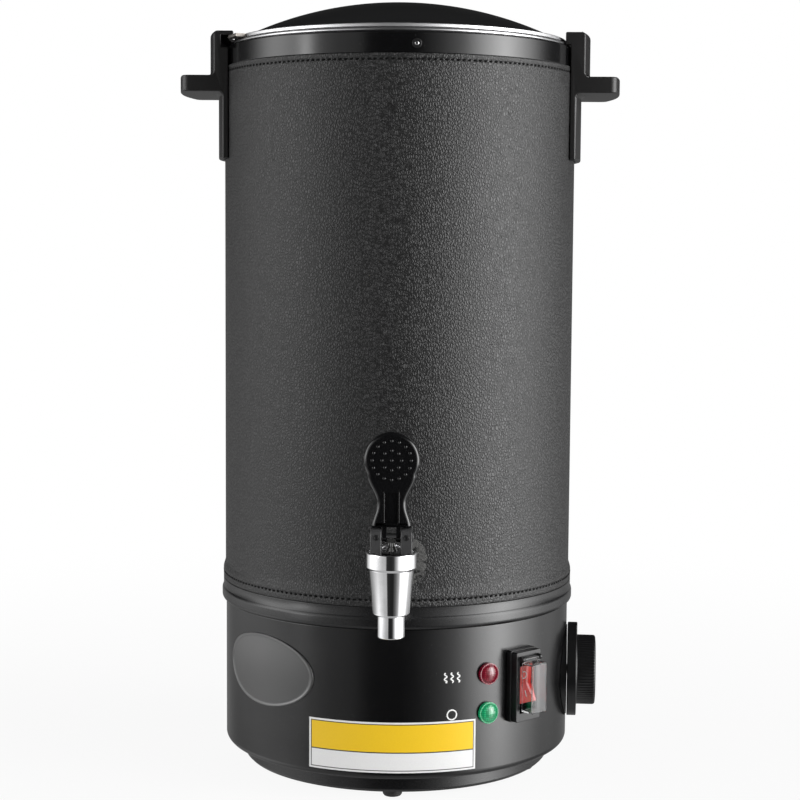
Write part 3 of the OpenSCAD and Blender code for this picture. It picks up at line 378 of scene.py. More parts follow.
def needled_felt(slot):
    """Felt: tangled fibres from a strongly distorted noise, in two pale tones."""
    f = finish(slot)
    fibre = f.noise(700, 5, 0.75, distortion=3.0)
    base = f.mix(fibre, (0.4, 0.37, 0.3, 1), (0.66, 0.63, 0.55, 1))
    return f.surface(Base_Color=base, Roughness=0.92 + 0.06 * fibre, Normal=f.bump(fibre, 0.5),
                     Sheen_Weight=0.3)


def lamp_lens(slot, colour, glow):
    """Moulded lamp lens: a grid of small domes in clear colour, each brighter at its middle."""
    f = finish(slot)
    flat = f.node("Mapping", {}, {"Vector": f.spot, "Rotation": (0, 0, -math.radians(LAMP_AZ))})
    dots = f.cells(760, "F1", 0.0, at=flat)
    dome = 1 - dots.smooth(0.1, 0.62)
    slow = f.noise(160, 2)
    base = f.mix(dome * 0.8 + slow * 0.2, grey(0.45, colour), grey(1, colour))
    inside = f.mix(dome, grey(0.35, glow), grey(1, glow))
    return f.surface(Base_Color=base, Roughness=0.16 + 0.12 * dome, Normal=f.bump(dome, 0.1),
                     Emission_Color=inside, Emission_Strength=1.0, Coat_Weight=0.6, Coat_Roughness=0.08)


def clear_plastic(slot):
    """Clear cover with a few worn patches that are duller."""
    f = finish(slot)
    wear = f.noise(240, 4, 0.7).smooth(0.5, 0.8)
    return f.surface(Base_Color=f.mix(wear, (0.97, 0.98, 0.98, 1), (0.9, 0.92, 0.93, 1)),
                     Roughness=0.03 + 0.12 * wear, Transmission_Weight=1.0, IOR=1.49,
                     Normal=f.bump(wear, 0.01))


def badge_face(slot):
    """Dark resin with fine metal flakes under a clear coat."""
    f = finish(slot)
    flake = f.cells(5200).smooth(0.05, 0.3)
    slow = f.noise(40, 3)
    base = f.mix(flake, grey(0.11), grey(0.034))
    return f.surface(Base_Color=base, Metallic=0.25 * (1 - flake), Roughness=0.3 + 0.1 * slow,
                     Coat_Weight=0.7, Coat_Roughness=0.1, Normal=f.bump(slow, 0.01))


def two_tone_label(slot):
    """Blank label: white border, thin dark keyline, amber upper part and a white strip below a dark line.

    The distance from the nearest edge comes from the arc length and the height on the wall.
    """
    f = finish(slot)
    _, _, z = f.xyz()
    along = (f.angle() * 0.1136).math("ABSOLUTE")
    low, high, half = LABEL_LOW / 1000, LABEL_HIGH / 1000, LABEL_HALF / 1000
    split = low + 0.4 * (high - low)
    edge = (half - along).math("MINIMUM", (z - low).math("MINIMUM", high - z))
    border = 1 - edge.smooth(0.00105, 0.0012)
    line = edge.smooth(0.00105, 0.0012) * (1 - edge.smooth(0.0016, 0.00175))
    rule = 1 - (z - split).math("ABSOLUTE").smooth(0.0003, 0.0004)
    grain = f.noise(1400, 2)
    amber = f.mix(grain, (0.78, 0.49, 0.004, 1), (0.85, 0.55, 0.008, 1))
    white = f.mix(grain, grey(0.72), grey(0.8))
    base = f.mix(z.smooth(split, split + 0.0001), white, amber)
    base = f.mix(border, base, white)
    base = f.mix(line.math("MAXIMUM", rule * (1 - border)), base, grey(0.02))
    return f.surface(Base_Color=base, Roughness=0.36 + 0.08 * grain, Normal=f.bump(grain, 0.004))


def rocker_with_painted_highlight(slot):
    """Red moulding with a slow change in tone, whose upper half is painted paler as a painted highlight."""
    f = finish(slot)
    _, _, z = f.xyz()
    slow = f.noise(120, 3)
    # painted highlight: the upper half of the rocker is mixed towards a pale red
    pale = z.smooth(0.068, 0.086)
    base = f.mix(pale * 0.5 + slow * 0.15, (0.75, 0.014, 0.012, 1), (0.95, 0.26, 0.22, 1))
    return f.surface(Base_Color=base, Roughness=0.14 + 0.06 * slow, Normal=f.bump(slow, 0.01),
                     Coat_Weight=0.5)


def mix_finishes():
    """Makes the finish of every slot."""
    brushed("pot_steel", (0.62, 0.62, 0.63), 0.27)
    brushed("lid_steel", (0.8, 0.8, 0.81), 0.4, 0.2)
    enamelled("dome_enamel", (0.004, 0.004, 0.0045), 0.08)
    enamelled("band_enamel", (0.003, 0.003, 0.0033), 0.15, 0.02)
    enamelled("base_enamel", (0.003, 0.003, 0.0033), 0.23, 0.008)
    enamelled("shell_steel", (0.05, 0.05, 0.05), 0.5, 0.03)
    pebbled_leather("leather")
    needled_felt("felt")
    moulded("handle_plastic", (0.0065, 0.006, 0.006), 0.42, 0.45, 0.03)
    moulded("ring_plastic", (0.005, 0.005, 0.0055), 0.28, 0.5, 0.008)
    moulded("control_plastic", (0.006, 0.006, 0.0065), 0.3, 0.4, 0.008)
    moulded("lever_plastic", (0.003, 0.003, 0.0034), 0.14, 0.4, 0.003)
    moulded("bonnet_plastic", (0.042, 0.042, 0.043), 0.38, 0.4, 0.01)
    moulded("rubber", (0.02, 0.02, 0.02), 0.72, 0.5, 0.03)
    polished("chrome", (0.86, 0.86, 0.87), 0.05)
    polished("zinc", (0.62, 0.62, 0.61), 0.24)
    polished("aluminium", (0.75, 0.75, 0.76), 0.36)
    polished("element_steel", (0.3, 0.28, 0.26), 0.38)
    brushed("shield_steel", (0.68, 0.68, 0.68), 0.26)
    polished("copper", (0.72, 0.4, 0.25), 0.26)
    polished("brass", (0.78, 0.6, 0.3), 0.22)
    moulded("phenolic", (0.06, 0.04, 0.03), 0.5)
    moulded("white_plastic", (0.78, 0.77, 0.72), 0.42, mottle=0.03)
    moulded("silicone", (0.72, 0.71, 0.69), 0.5, mottle=0.03, Subsurface_Weight=0.15, Subsurface_Scale=0.002)
    lamp_lens("red_lens", (0.22, 0.005, 0.018), (0.06, 0.0, 0.007))
    lamp_lens("green_lens", (0.015, 0.32, 0.13), (0.0, 0.18, 0.065))
    rocker_with_painted_highlight("red_plastic")
    clear_plastic("clear_plastic")
    badge_face("badge_face")
    two_tone_label("label_film")
    moulded("wire_insulation", (0.35, 0.1, 0.08), 0.45)
    waxed_thread("thread")
    cut_edge("backing")
    moulded("white_print", (0.78, 0.78, 0.77), 0.5, 0.3, 0.004, 0.03)


# ---- Shapes ----
def rounded(corners):
    """Outline through corners (r, h, fillet).

    A fillet's arc replaces its corner, with one more point just off each of its ends.
    """
    outline = []
    count = len(corners)
    for i, corner in enumerate(corners):
        p = np.array(corner[:2], float)
        fillet = corner[2] if len(corner) > 2 else 0
        if not fillet:
            outline.append(p)
            continue
        back = np.array(corners[i - 1][:2], float) - p
        on = np.array(corners[(i + 1) % count][:2], float) - p
        back_l, on_l = np.hypot(*back), np.hypot(*on)
        back, on = back / back_l, on / on_l
        half = math.acos(max(-1.0, min(1.0, float(back @ on)))) / 2
        reach = min(fillet / math.tan(half), 0.49 * min(back_l, on_l))
        fillet = reach * math.tan(half)
        middle = (back + on) / np.hypot(*(back + on)) * fillet / math.sin(half)
        turn = math.pi - 2 * half
        steps = max(3, min(14, int(3 + 3 * fillet)))
        start, end = back * reach - middle, on * reach - middle
        outline.append(p + back * (reach + min(0.12, 0.3 * (back_l - reach))))
        for k in range(steps + 1):
            w = k / steps
            arc = (math.sin((1 - w) * turn) * start + math.sin(w * turn) * end) / math.sin(turn)
            outline.append(p + middle + arc)
        outline.append(p + on * (reach + min(0.12, 0.3 * (on_l - reach))))
    return np.array(outline)


def upright(x=0.0, y=0.0):
    return np.array([[x, y, 0], [1, 0, 0], [0, 1, 0], [0, 0, 1]], float)


def outward(az, z):
    """Frame on the wall: x to the right, y up, and the third axis straight out at that angle and height."""
    a = math.radians(az)
    return np.array([[0, 0, z], [math.cos(a), math.sin(a), 0], [0, 0, 1], [math.sin(a), -math.cos(a), 0]])


def carry(base, local):
    """Takes points from a frame to the urn: origin plus each coordinate times its axis."""
    return base[0] + local[..., :1] * base[1] + local[..., 1:2] * base[2] + local[..., 2:3] * base[3]


def spin(outline, segments, start=0.0, sweep=TAU):
    """Turns an outline (r, h) about the third axis: r cosine, r sine and h, at even steps of angle."""
    full = abs(sweep - TAU) < 1e-6
    angles = start + sweep * np.arange(segments + (0 if full else 1)) / segments
    r, h = outline[:, 0], outline[:, 1]
    return np.stack([np.outer(np.cos(angles), r), np.outer(np.sin(angles), r),
                     np.broadcast_to(h, (len(angles), len(h)))], axis=-1)


def skin(grid, loop_u=True, loop_v=True):
    """Points and quads of a grid, closed on itself along each direction that loops.

    Where only v loops, the two open ends are capped.
    """
    n, m = grid.shape[:2]
    u = np.arange(n if loop_u else n - 1)
    v = np.arange(m if loop_v else m - 1)
    a, b = np.meshgrid(u, v, indexing="ij")
    a2, b2 = (a + 1) % n, (b + 1) % m
    quads = np.stack([a * m + b, a2 * m + b, a2 * m + b2, a * m + b2], axis=-1).reshape(-1, 4).tolist()
    if loop_v and not loop_u:
        quads += [list(range(m))[::-1], list(range((n - 1) * m, n * m))]
    return grid.reshape(-1, 3), quads


def smooth(made, angle=40):
    made.data.shade_smooth()
    made.data.set_sharp_from_angle(angle=math.radians(angle))


def stand(name, mesh, angle=40):
    """Puts a mesh in the scene as a smooth-shaded object whose edges above the angle stay sharp."""
    made = bpy.data.objects.new(name, mesh)
    bpy.context.scene.collection.objects.link(made)
    smooth(made, angle)
    return made


def piece(name, points, faces):
    """Makes the object: millimetres go to metres, doubles at poles merge and faces turn outwards."""
    mesh = bpy.data.meshes.new(name)
    mesh.from_pydata((np.asarray(points) / 1000).tolist(), [], faces)
    b = bmesh.new()
    b.from_mesh(mesh)
    bmesh.ops.remove_doubles(b, verts=b.verts, dist=1e-7)
    bmesh.ops.recalc_face_normals(b, faces=b.faces)
    b.to_mesh(mesh)
    b.free()
    return stand(name, mesh)


def turned(name, outline, segments, base=None, poles=False):
    """Piece turned from an outline, in a frame if one is given; with poles it starts and ends on the axis."""
    local = spin(outline, segments)
    return piece(name, *skin(local if base is None else carry(base, local), True, not poles))


def several(grids, loops=(True, True)):
    """One list of points and faces from several grids."""
    points, faces, start = [], [], 0
    for grid in grids:
        p, f = skin(grid, *loops)
        points.append(p)
        faces += [[i + start for i in face] for face in f]
        start += len(p)
    return np.concatenate(points), faces


def dress(made, slot, *nodes, body="housing", finish_name=None):
    """Gives a piece its finish, the slot's own or a named one, and its body, and hides the solids it stands
    for.
    """
    made.data.materials.clear()
    made.data.materials.append(FINISHES[finish_name or slot])
    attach(made, body)
    if nodes:
        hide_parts(*nodes)


def bevel(made, width, segments=3, angle=30, clamp=True):
    """Rounds the edges above the angle to a width in millimetres."""
    soft = made.modifiers.new("edges", "BEVEL")
    soft.width = width / 1000
    soft.segments = segments
    soft.limit_method = "ANGLE"
    soft.angle_limit = math.radians(angle)
    soft.harden_normals = True
    soft.use_clamp_overlap = clamp
    return made


def softened(name, node, width):
    """Copy of a solid with merged points, joined flats and rounded edges of the given width."""
    b = bmesh.new()
    b.from_mesh(NODES[node].data)
    bmesh.ops.remove_doubles(b, verts=b.verts, dist=2e-6)
    bmesh.ops.dissolve_limit(b, angle_limit=math.radians(0.4), verts=b.verts, edges=b.edges)
    bmesh.ops.recalc_face_normals(b, faces=b.faces)
    mesh = bpy.data.meshes.new(name)
    b.to_mesh(mesh)
    b.free()
    return bevel(stand(name, mesh, 30), width, 3, 30, False)


def mould(name, node, width, body="housing", finish_name=None):
    """Dresses a solid's softened copy, which stands for it."""
    dress(softened(name, node, width), SLOT_OF[node], node, body=body, finish_name=finish_name)


def white_mark(name, shape, body):
    """Printed mark, from its points and faces."""
    dress(piece(name, *shape), "white_plastic", body=body, finish_name="white_print")


def prism(outline, low, high, base):
    """Outline (x, y) carried from low to high along the frame's third axis."""
    k = len(outline)
    flat = np.asarray(outline, float)
    ends = [np.column_stack([flat, np.full(k, h)]) for h in (low, high)]
    faces = [[i, (i + 1) % k, k + (i + 1) % k, k + i] for i in range(k)]
    faces += [list(range(k))[::-1], list(range(k, 2 * k))]
    return carry(base, np.concatenate(ends)), faces


def cut(made, cutter):
    """Takes the cutter's volume out of a piece, then removes the cutter."""
    tool = made.modifiers.new("cut", "BOOLEAN")
    tool.operation = "DIFFERENCE"
    tool.solver = "EXACT"
    tool.object = cutter
    graph = bpy.context.evaluated_depsgraph_get()
    mesh = bpy.data.meshes.new_from_object(made.evaluated_get(graph))
    made.modifiers.clear()
    made.data = mesh
    bpy.data.objects.remove(cutter)
    smooth(made)


def drill(az, z, radius, near, far, segments):
    """Round cutter from near to far along the wall's outward direction."""
    side = np.array([[0, near], [radius, near], [radius, far], [0, far]], float)
    return turned("hole", side, segments, outward(az, z), True)


def ribbon(path, out, width, rise, loop=False):
    """Flat strip on a surface: a path's four corners, half the width to each side and rise outwards."""
    out = np.broadcast_to(out, path.shape)
    if loop:
        along = np.roll(path, -1, 0) - np.roll(path, 1, 0)
    else:
        along = np.gradient(path, axis=0)
    sideways = np.cross(along, out)
    sideways /= np.linalg.norm(sideways, axis=1, keepdims=True)
    half = sideways * width / 2
    low, high = path - 0.15 * out, path + rise * out
    return np.stack([low - half, high - half * 0.94, high + half * 0.94, low + half], axis=1)


def on_base(x, y, az, z):
    """Points (x, y) of a wall frame dropped onto the base's round wall, and the outward directions there."""
    points = carry(outward(az, z), np.stack([x, y, np.sqrt(BASE_R * BASE_R - x * x)], axis=-1))
    return points, points * [1, 1, 0] / BASE_R


def stitches(anchors, along, out, length, thick):
    """Thread stitches: eight-sided capsules that rise at the middle and dive in at both ends."""
    t = np.array([-1, -0.82, -0.4, 0.0, 0.4, 0.82, 1])
    swell = thick * np.array([0.02, 0.8, 1, 1, 1, 0.8, 0.02])
    lift = -0.55 * thick * t ** 2
    around = np.arange(8) * TAU / 8
    side = np.cross(along, out)
    grids = []
    for p, a, o, s in zip(anchors, along, out, side):
        centre = p + np.outer(t, a) * length / 2 + np.outer(lift, o)
        ring = np.outer(np.cos(around), s) + np.outer(np.sin(around), o)
        grids.append(centre[:, None] + swell[:, None, None] * ring[None])
    return several(grids, (False, True))


# ---- Lid ----
def make_lid():
    """Lid: a dome that is part of a ball, a folded steel rim round it and two lugs on the rim.

    The ball's radius comes from the dome's radius and height. The lugs stand where the handles' mouths begin.
    """
    z = BENCH_TO
    dome_h = z["apex"] - z["dome"]
    ball = (DOME_R ** 2 + dome_h ** 2) / (2 * dome_h)
    middle = z["apex"] - ball
    r = DOME_R * np.sin(np.linspace(0, math.pi / 2, 60))
    top = np.column_stack([r, middle + np.sqrt(ball ** 2 - r ** 2)])
    thin = ball - 1.2
    r_in = np.linspace(100.4, 0, 30)
    under = np.column_stack([r_in, middle + np.sqrt(thin ** 2 - r_in ** 2)])
    lip = np.array([[DOME_R, z["dome"] + 0.02], [DOME_R - 0.15, z["dome"]], [100.6, z["dome"]]])
    outline = np.concatenate([top[:-1], lip, under])
    dress(turned("dome_pressing", outline, 384, poles=True), "dome_enamel", "lid_dome", body="lid")

    edge = rounded([(LID_R, z["lid"], 0.5), (LID_R, z["dome"], 0.7), (100.2, z["dome"], 0.4),
                    (100.2, 463.7, 0.3), (101.2, 463.7, 0.3), (101.2, 473.1, 0.4), (107, 473.1, 0.3),
                    (107, z["lid"], 0.3)])
    dress(turned("lid_rim_ring", edge, 384), "lid_steel", "lid_rim", body="lid")
    mouth = math.degrees(math.asin(37 / 111.2))
    half_lug, gap = 4, 0.6
    lug_az = 90 - mouth - half_lug - gap
    tongue = rounded([(107.2, z["lid"], 0.1), (115.2, z["lid"], 0.5), (115.2, 473.8, 0.6),
                      (107.2, 473.8, 0.1)])
    grids = [spin(tongue, 16, math.radians(az - 90 - half_lug), math.radians(2 * half_lug))
             for az in (-lug_az, 180 - lug_az)]
    lugs = piece("locking_lugs", *several(grids, (False, True)))
    bevel(lugs, 0.35, 2, 50)
    # painted shade: the lugs take the darker element steel, where they sit in shade behind the handles' hooks
    dress(lugs, "lid_steel", body="lid", finish_name="element_steel")


# ---- Pot and rim ----
def make_pot():
    """Drawn pot: floor, wall, flange and rolled bead in one outline, with the tap's hole."""
    z = BENCH_TO
    lower = rounded([(0, 136.0), (104.8, 136.0, 2.8), (104.8, z["band"], 0.3), (108.6, z["band"])])
    turn = np.radians(np.linspace(-90, 201, 22))
    bead = np.column_stack([109.15 + BEAD_R * np.cos(turn), z["band"] + BEAD_R * (1 + np.sin(turn))])
    upper = rounded([(107.6, 469.6), (104.0, 469.6, 0.6), (104.0, z["floor"], 2.2), (0, z["floor"])])
    outline = np.concatenate([lower[:-1], bead, upper])
    pot = turned("pot_drawn", outline, 320, poles=True)
    cut(pot, drill(0, SHANK_Z, 8.4, 90, 110, 48))
    dress(pot, "pot_steel", "pot")


def make_band():
    """Rim band, and three rivets with their eyelets a third of a turn apart."""
    z = BENCH_TO
    outline = rounded([(BAND_R, z["rim"], 0.35), (BAND_R, z["band"], 1.0), (105.0, z["band"], 0.3),
                       (105.0, 467.3), (109.4, 467.3), (109.4, 446), (111.2, 446), (111.2, z["rim"])])
    dress(turned("rim_band_ring", outline, 384), "band_enamel", "rim_band")
    pin = rounded([(0, 108.6), (2.4, 108.6), (2.4, 109.2), (1.24, 109.2), (1.24, 113.6, 0.45), (0, 113.65)])
    eyelet = rounded([(1.34, 112.9), (2.9, 112.9), (2.9, 113.45, 0.25), (1.34, 113.45, 0.2)])
    places = [outward(az, RIVET_Z) for az in (6.2, 126.2, 246.2)]
    rivets = piece("rivets", *several([carry(base, spin(pin, 32)) for base in places], (True, False)))
    dress(rivets, "chrome", "band_rivets")
    eyelets = piece("eyelets", *several([carry(base, spin(eyelet, 40)) for base in places]))
    dress(eyelets, "control_plastic", "rivet_eyelets")


# ---- Leather jacket ----
def make_jacket():
    """Wrapped leatherette with thickness.

    Outside, the radius is the jacket's, flared at the hem, less a soft channel under each row of stitches,
    plus a small pillow that swells between the stitches beside each row. Inside, it lies on the shell.
    """
    z0, z1 = BENCH_TO["jacket"], BENCH_TO["rim"]
    (top_row, _), (hem_row, _) = STITCH_ROWS
    near = np.array([-2.6, -2.0, -1.5, -1.1, -0.8, -0.4, 0, 0.4, 0.8, 1.1, 1.5, 2.0, 2.6])
    heights = np.concatenate([[z0 + 0.02, z0 + 0.2, z0 + 0.6], hem_row + near, np.linspace(131.6, 137, 6),
                              np.linspace(150, 446, 14), top_row + near, [z1 - 0.6, z1 - 0.2, z1 - 0.02]])
    ease = np.clip((heights - 130) / 6, 0, 1)
    r = HEM_R + (JACKET_R - HEM_R) * ease * ease * (3 - 2 * ease)
    for edge in (z0, z1):
        gap = np.clip(1 - np.abs(heights - edge) / 0.6, 0, 1)
        r = r - 0.5 * (1 - np.sqrt(1 - np.minimum(gap, 0.999) ** 2))
    angles = np.arange(4 * STITCHES) * TAU / (4 * STITCHES)
    pulse = np.cos(STITCHES * angles)
    outer = np.broadcast_to(r, (len(angles), len(r))).copy()
    for row_z, _ in STITCH_ROWS:
        gap = heights - row_z
        outer -= np.outer(0.42 - 0.2 * pulse, np.exp(-(gap / 0.75) ** 2))
        outer += np.outer(pulse, 0.07 * np.exp(-((np.abs(gap) - 1.5) / 0.8) ** 2))
    inner_z = np.array([z1 - 0.02, z1 - 0.3, 300, z0 + 0.3, z0 + 0.02])
    inner = np.full((len(angles), 5), LEATHER_IR + 0.02)
    radii = np.concatenate([outer, inner], axis=1)
    levels = np.broadcast_to(np.concatenate([heights, inner_z]), radii.shape)
    grid = np.stack([np.cos(angles)[:, None] * radii, np.sin(angles)[:, None] * radii, levels], axis=-1)
    jacket = piece("jacket_wrap", *skin(grid))
    cut(jacket, drill(0, SHANK_Z, WASHER_HOLE_R, 104, 125, 96))
    dress(jacket, "leather", "leather_jacket")

    lap = rounded([(113.7, 137.2, 0.2), (114.62, 137.2, 0.35), (114.62, 449.6, 0.35), (113.7, 449.6, 0.2)])
    half = math.radians(3.4)
    seam = piece("rear_seam_lap", *skin(spin(lap, 12, math.radians(90) - half, 2 * half), False, True))
    bevel(seam, 0.3, 2, 50)
    dress(seam, "leather")
    make_stitches()
    make_cut_edge()


def make_stitches():
    """Stitch rows, at even steps of angle round the top and the hem and of height beside the rear lap."""
    angles = (np.arange(STITCHES) + 0.5) * TAU / STITCHES
    slant = math.radians(7)
    out = np.stack([np.cos(angles), np.sin(angles), 0 * angles], axis=-1)
    along = np.stack([-np.sin(angles) * math.cos(slant), np.cos(angles) * math.cos(slant),
                      np.full_like(angles, math.sin(slant))], axis=-1)
    anchors = np.concatenate([out * (r - 0.4) + [0, 0, row_z] for row_z, r in STITCH_ROWS])
    rows = piece("hem_stitches", *stitches(anchors, np.tile(along, (2, 1)), np.tile(out, (2, 1)), 2.5, 0.6))
    dress(rows, "leather", finish_name="thread")

    lap_r, beside = 114.6, 4.6
    heights = np.arange(140, 448, 4.2)
    anchors, out = [], []
    for s in (-beside, beside):
        a = math.radians(180) + s / lap_r
        normal = np.array([math.sin(a), -math.cos(a), 0])
        anchors += [normal * lap_r + [0, 0, h] for h in heights]
        out += [normal] * len(heights)
    along = np.broadcast_to([0.0, 0.0, 1.0], (len(out), 3))
    rows = piece("seam_stitches", *stitches(anchors, along, out, 3.3, 0.36))
    dress(rows, "leather", finish_name="thread")


def make_cut_edge():
    """Scuffed crescent beside the tap where the leatherette is cut: its backing, raised and ragged.

    A strip over angle and radius round the shank: both edges wander, the ends narrow, and the height is a few
    crossing waves that sink into the leather at the rim.
    """
    steps = 160
    rng = np.random.default_rng(7)
    angles = np.radians(np.linspace(-62, 66, steps))
    wander = np.zeros((3, steps))
    for order in (7, 13, 21, 34, 55, 89):
        phase = rng.uniform(0, TAU, 3)[:, None]
        wander += np.sin(order * angles + phase) * 0.5 / order ** 0.35
    close = np.clip(np.sin(np.linspace(0, math.pi, steps)), 0.03, 1) ** 0.6
    middle = 17.0 + 0.3 * wander[2]
    inner, outer = middle - 3.5 * close + 0.3 * wander[0], middle + (3.6 + 0.9 * wander[1]) * close
    share = np.array([0.0, 0.08, 0.2, 0.34, 0.48, 0.62, 0.76, 0.88, 0.96, 1.0])
    rho = inner[:, None] + (outer - inner)[:, None] * share
    waves = np.outer(np.sin(41 * angles), np.sin(11 * share))
    waves += np.outer(np.sin(67 * angles + 2), np.sin(17 * share))
    lift = np.minimum(1, 6 * np.minimum(share + 0.05, 1.02 - share)) * (0.3 + 0.16 * waves) * close[:, None]
    sheet = []
    for rise, far in ((lift, rho), (np.full_like(lift, -0.7), rho[:, ::-1])):
        x, y = far * np.cos(angles)[:, None], far * np.sin(angles)[:, None]
        sheet.append(np.stack([x, y, np.sqrt(JACKET_R ** 2 - x ** 2) + rise], axis=-1))
    grid = carry(outward(0, SHANK_Z), np.concatenate(sheet, axis=1))
    dress(piece("cut_leather_edge", *skin(grid, False, True)), "leather", finish_name="backing")


# ---- Handles ----
def make_handles():
    for side in ("left", "right"):
        mould("handle_moulding_" + side, "handle_" + side, 0.9)


# ---- Base ----
def make_base():
    """Transition ring, base wall with the switch's window, bottom pan and feet, all turned outlines."""
    z = BENCH_TO
    turn = np.radians(np.linspace(0, 39.2, 6))
    shoulder = [(112.2 + 4 * math.cos(a), 116 + 4 * math.sin(a)) for a in turn]
    ring = rounded([(104, 104), (110.8, 104, 0.4), (110.8, z["ring"]), (RING_R, z["ring"], 4)]
                   + shoulder + [(HEM_R, z["jacket"], 0.4), (112.9, z["jacket"], 0.3), (112.9, z["shelf"]),
                                 (104, z["shelf"])])
    dress(turned("ring_moulding", ring, 384), "ring_plastic", "transition_ring")

    wall = rounded([(BASE_R, z["base"], 4), (BASE_R, z["ring"], 0.6), (BASE_IR, z["ring"], 0.3),
                    (BASE_IR, 18.7, 1.5), (96.9, 18.7, 0.3), (96.9, z["base"], 0.6)])
    shell = turned("base_shell", wall, 480)
    window = [(-8.9, -17.9), (8.9, -17.9), (8.9, 17.9), (-8.9, 17.9)]
    cut(shell, piece("window", *prism(window, 100, 125, outward(SWITCH_AZ, SWITCH_Z))))
    dress(shell, "base_enamel", "base_housing")

    pan = rounded([(0, z["pan"]), (98.9, z["pan"], 1.0), (100.9, 6.7, 1.0), (100.9, z["base"], 0.3),
                   (98.9, z["base"], 0.3), (98.9, 6.7, 1.0), (0, 6.7)])
    dress(turned("pan_pressing", pan, 256, poles=True), "ring_plastic", "bottom_pan")

    foot = rounded([(3.6, 0), (5.2, 0, 0.4), (6.0, 1.0, 0.6), (6.4, z["pan"], 0.3), (2.1, z["pan"]),
                    (2.1, 2.0), (3.6, 2.0)])
    grids = []
    for i in range(FOOT_COUNT):
        a = TAU * i / FOOT_COUNT - math.pi / 2
        spot = upright(FOOT_CIRCLE_R * math.cos(a), FOOT_CIRCLE_R * math.sin(a))
        grids.append(carry(spot, spin(foot, 48)))
    dress(piece("feet_mouldings", *several(grids)), "rubber", "rubber_feet")


def make_badge():
    """Bare oval badge bent round the wall, and the blank label.

    The badge is an ellipse grid of rings: arc length and height are the half sizes times the ring times
    cosine and sine, and the rise is a raised rim round a slightly crowned face.
    """
    ring = np.concatenate([np.linspace(0, 0.9, 16),
                           [0.93, 0.945, 0.955, 0.965, 0.98, 0.99, 0.997, 1.0, 1.0, 0.0]])
    rise = 0.62 + 0.3 * (1 - (ring / 0.93) ** 2)
    rise[16:] = [0.62, 0.68, 0.86, 0.95, 1.0, 0.94, 0.78, 0.5, -0.4, -0.4]
    angles = np.arange(160) * TAU / 160
    arc = 41.0 * np.outer(np.cos(angles), ring) / BASE_R + math.radians(BADGE_AZ)
    high = 76.5 + 22.6 * np.outer(np.sin(angles), ring)
    r = BASE_R + 0.1 + rise
    grid = np.stack([r * np.sin(arc), -r * np.cos(arc), high], axis=-1)
    dress(piece("badge_oval", *skin(grid, True, False)), "badge_face", "oval_badge")

    film = rounded([(BASE_R + 0.05, LABEL_LOW), (BASE_R + 0.35, LABEL_LOW, 0.15),
                    (BASE_R + 0.35, LABEL_HIGH, 0.15), (BASE_R + 0.05, LABEL_HIGH)])
    half = LABEL_HALF / BASE_R
    label = piece("label_sheet", *skin(spin(film, 96, -math.pi / 2 - half, 2 * half), False, True))
    dress(label, "label_film", "blank_label")


def make_marks():
    """Plain symbols in place of words: three heat waves and a ring beside the lamps."""
    az, width, rise = 18.8, 0.9, 0.06
    z = np.linspace(-3.1, 3.1, 25)
    wave = 0.8 * np.sin(z * 2.03)
    strokes = [ribbon(*on_base(x + wave, z, az, 79.4), width, rise) for x in (-4.2, 0.0, 4.2)]
    white_mark("printed_lines", several(strokes, (False, True)), "housing")
    a = np.arange(48) * TAU / 48
    ring = ribbon(*on_base(3.0 * np.cos(a), 3.0 * np.sin(a), az, 56.2), width, rise, True)
    white_mark("printed_ring", skin(ring), "housing")


# ---- Controls ----
def make_controls():
    """Lamp lenses, each a cap of a ball of radius 9 mm on a rim, then the switch and the dial."""
    r = np.linspace(6.05, 0, 14)
    cap = np.column_stack([r, 109.2 + np.sqrt(81 - r * r)])
    rim = rounded([(0, 113.8), (6.7, 113.8), (6.7, 116.0, 0.5), (6.15, 116.0)])
    lens = np.concatenate([rim, cap])
    for name, z in LAMP_Z.items():
        made = turned(name + "_lens_cap", lens, 96, outward(LAMP_AZ, z), True)
        dress(made, name + "_lens", name + "_lamp_lens")

    for name, width, body in (("bezel", 0.5, "housing"), ("frame", 0.45, "housing"),
                              ("rocker", 0.45, "rocker"), ("flap", 0.3, "flap")):
        mould(name + "_moulding", "switch_" + name, width, body)
    make_rocker_marks()
    make_knob()


def make_rocker_marks():
    """A ring and a bar on the rocker's two sloping faces, in the rocker's own tipped frame."""
    base = outward(SWITCH_AZ, SWITCH_Z)
    tip = math.radians(8)

    def tipped(x, y, h):
        up, out = y * math.cos(tip) + h * math.sin(tip), h * math.cos(tip) - y * math.sin(tip)
        return carry(base, np.stack([x, up, 114.4 + out], axis=-1))

    def face(x, y, slope):
        h = 3.2 + slope * y
        n = carry(base * [[0], [1], [1], [1]], np.array([[0, -math.sin(tip), math.cos(tip)]]))
        return tipped(x, y, h), n

    slope = 1.2 * 5 / 3 / 11.5
    a = np.arange(40) * TAU / 40
    ring = ribbon(*face(2.1 * np.cos(a), 5.6 + 2.1 * np.sin(a), slope), 0.6, 0.08, True)
    white_mark("rocker_ring_mark", skin(ring), "rocker")
    y = np.linspace(-7.8, -4.0, 5)
    bar = ribbon(*face(0 * y, y, -slope), 0.7, 0.08)
    white_mark("rocker_bar_mark", skin(bar, False, True), "rocker")


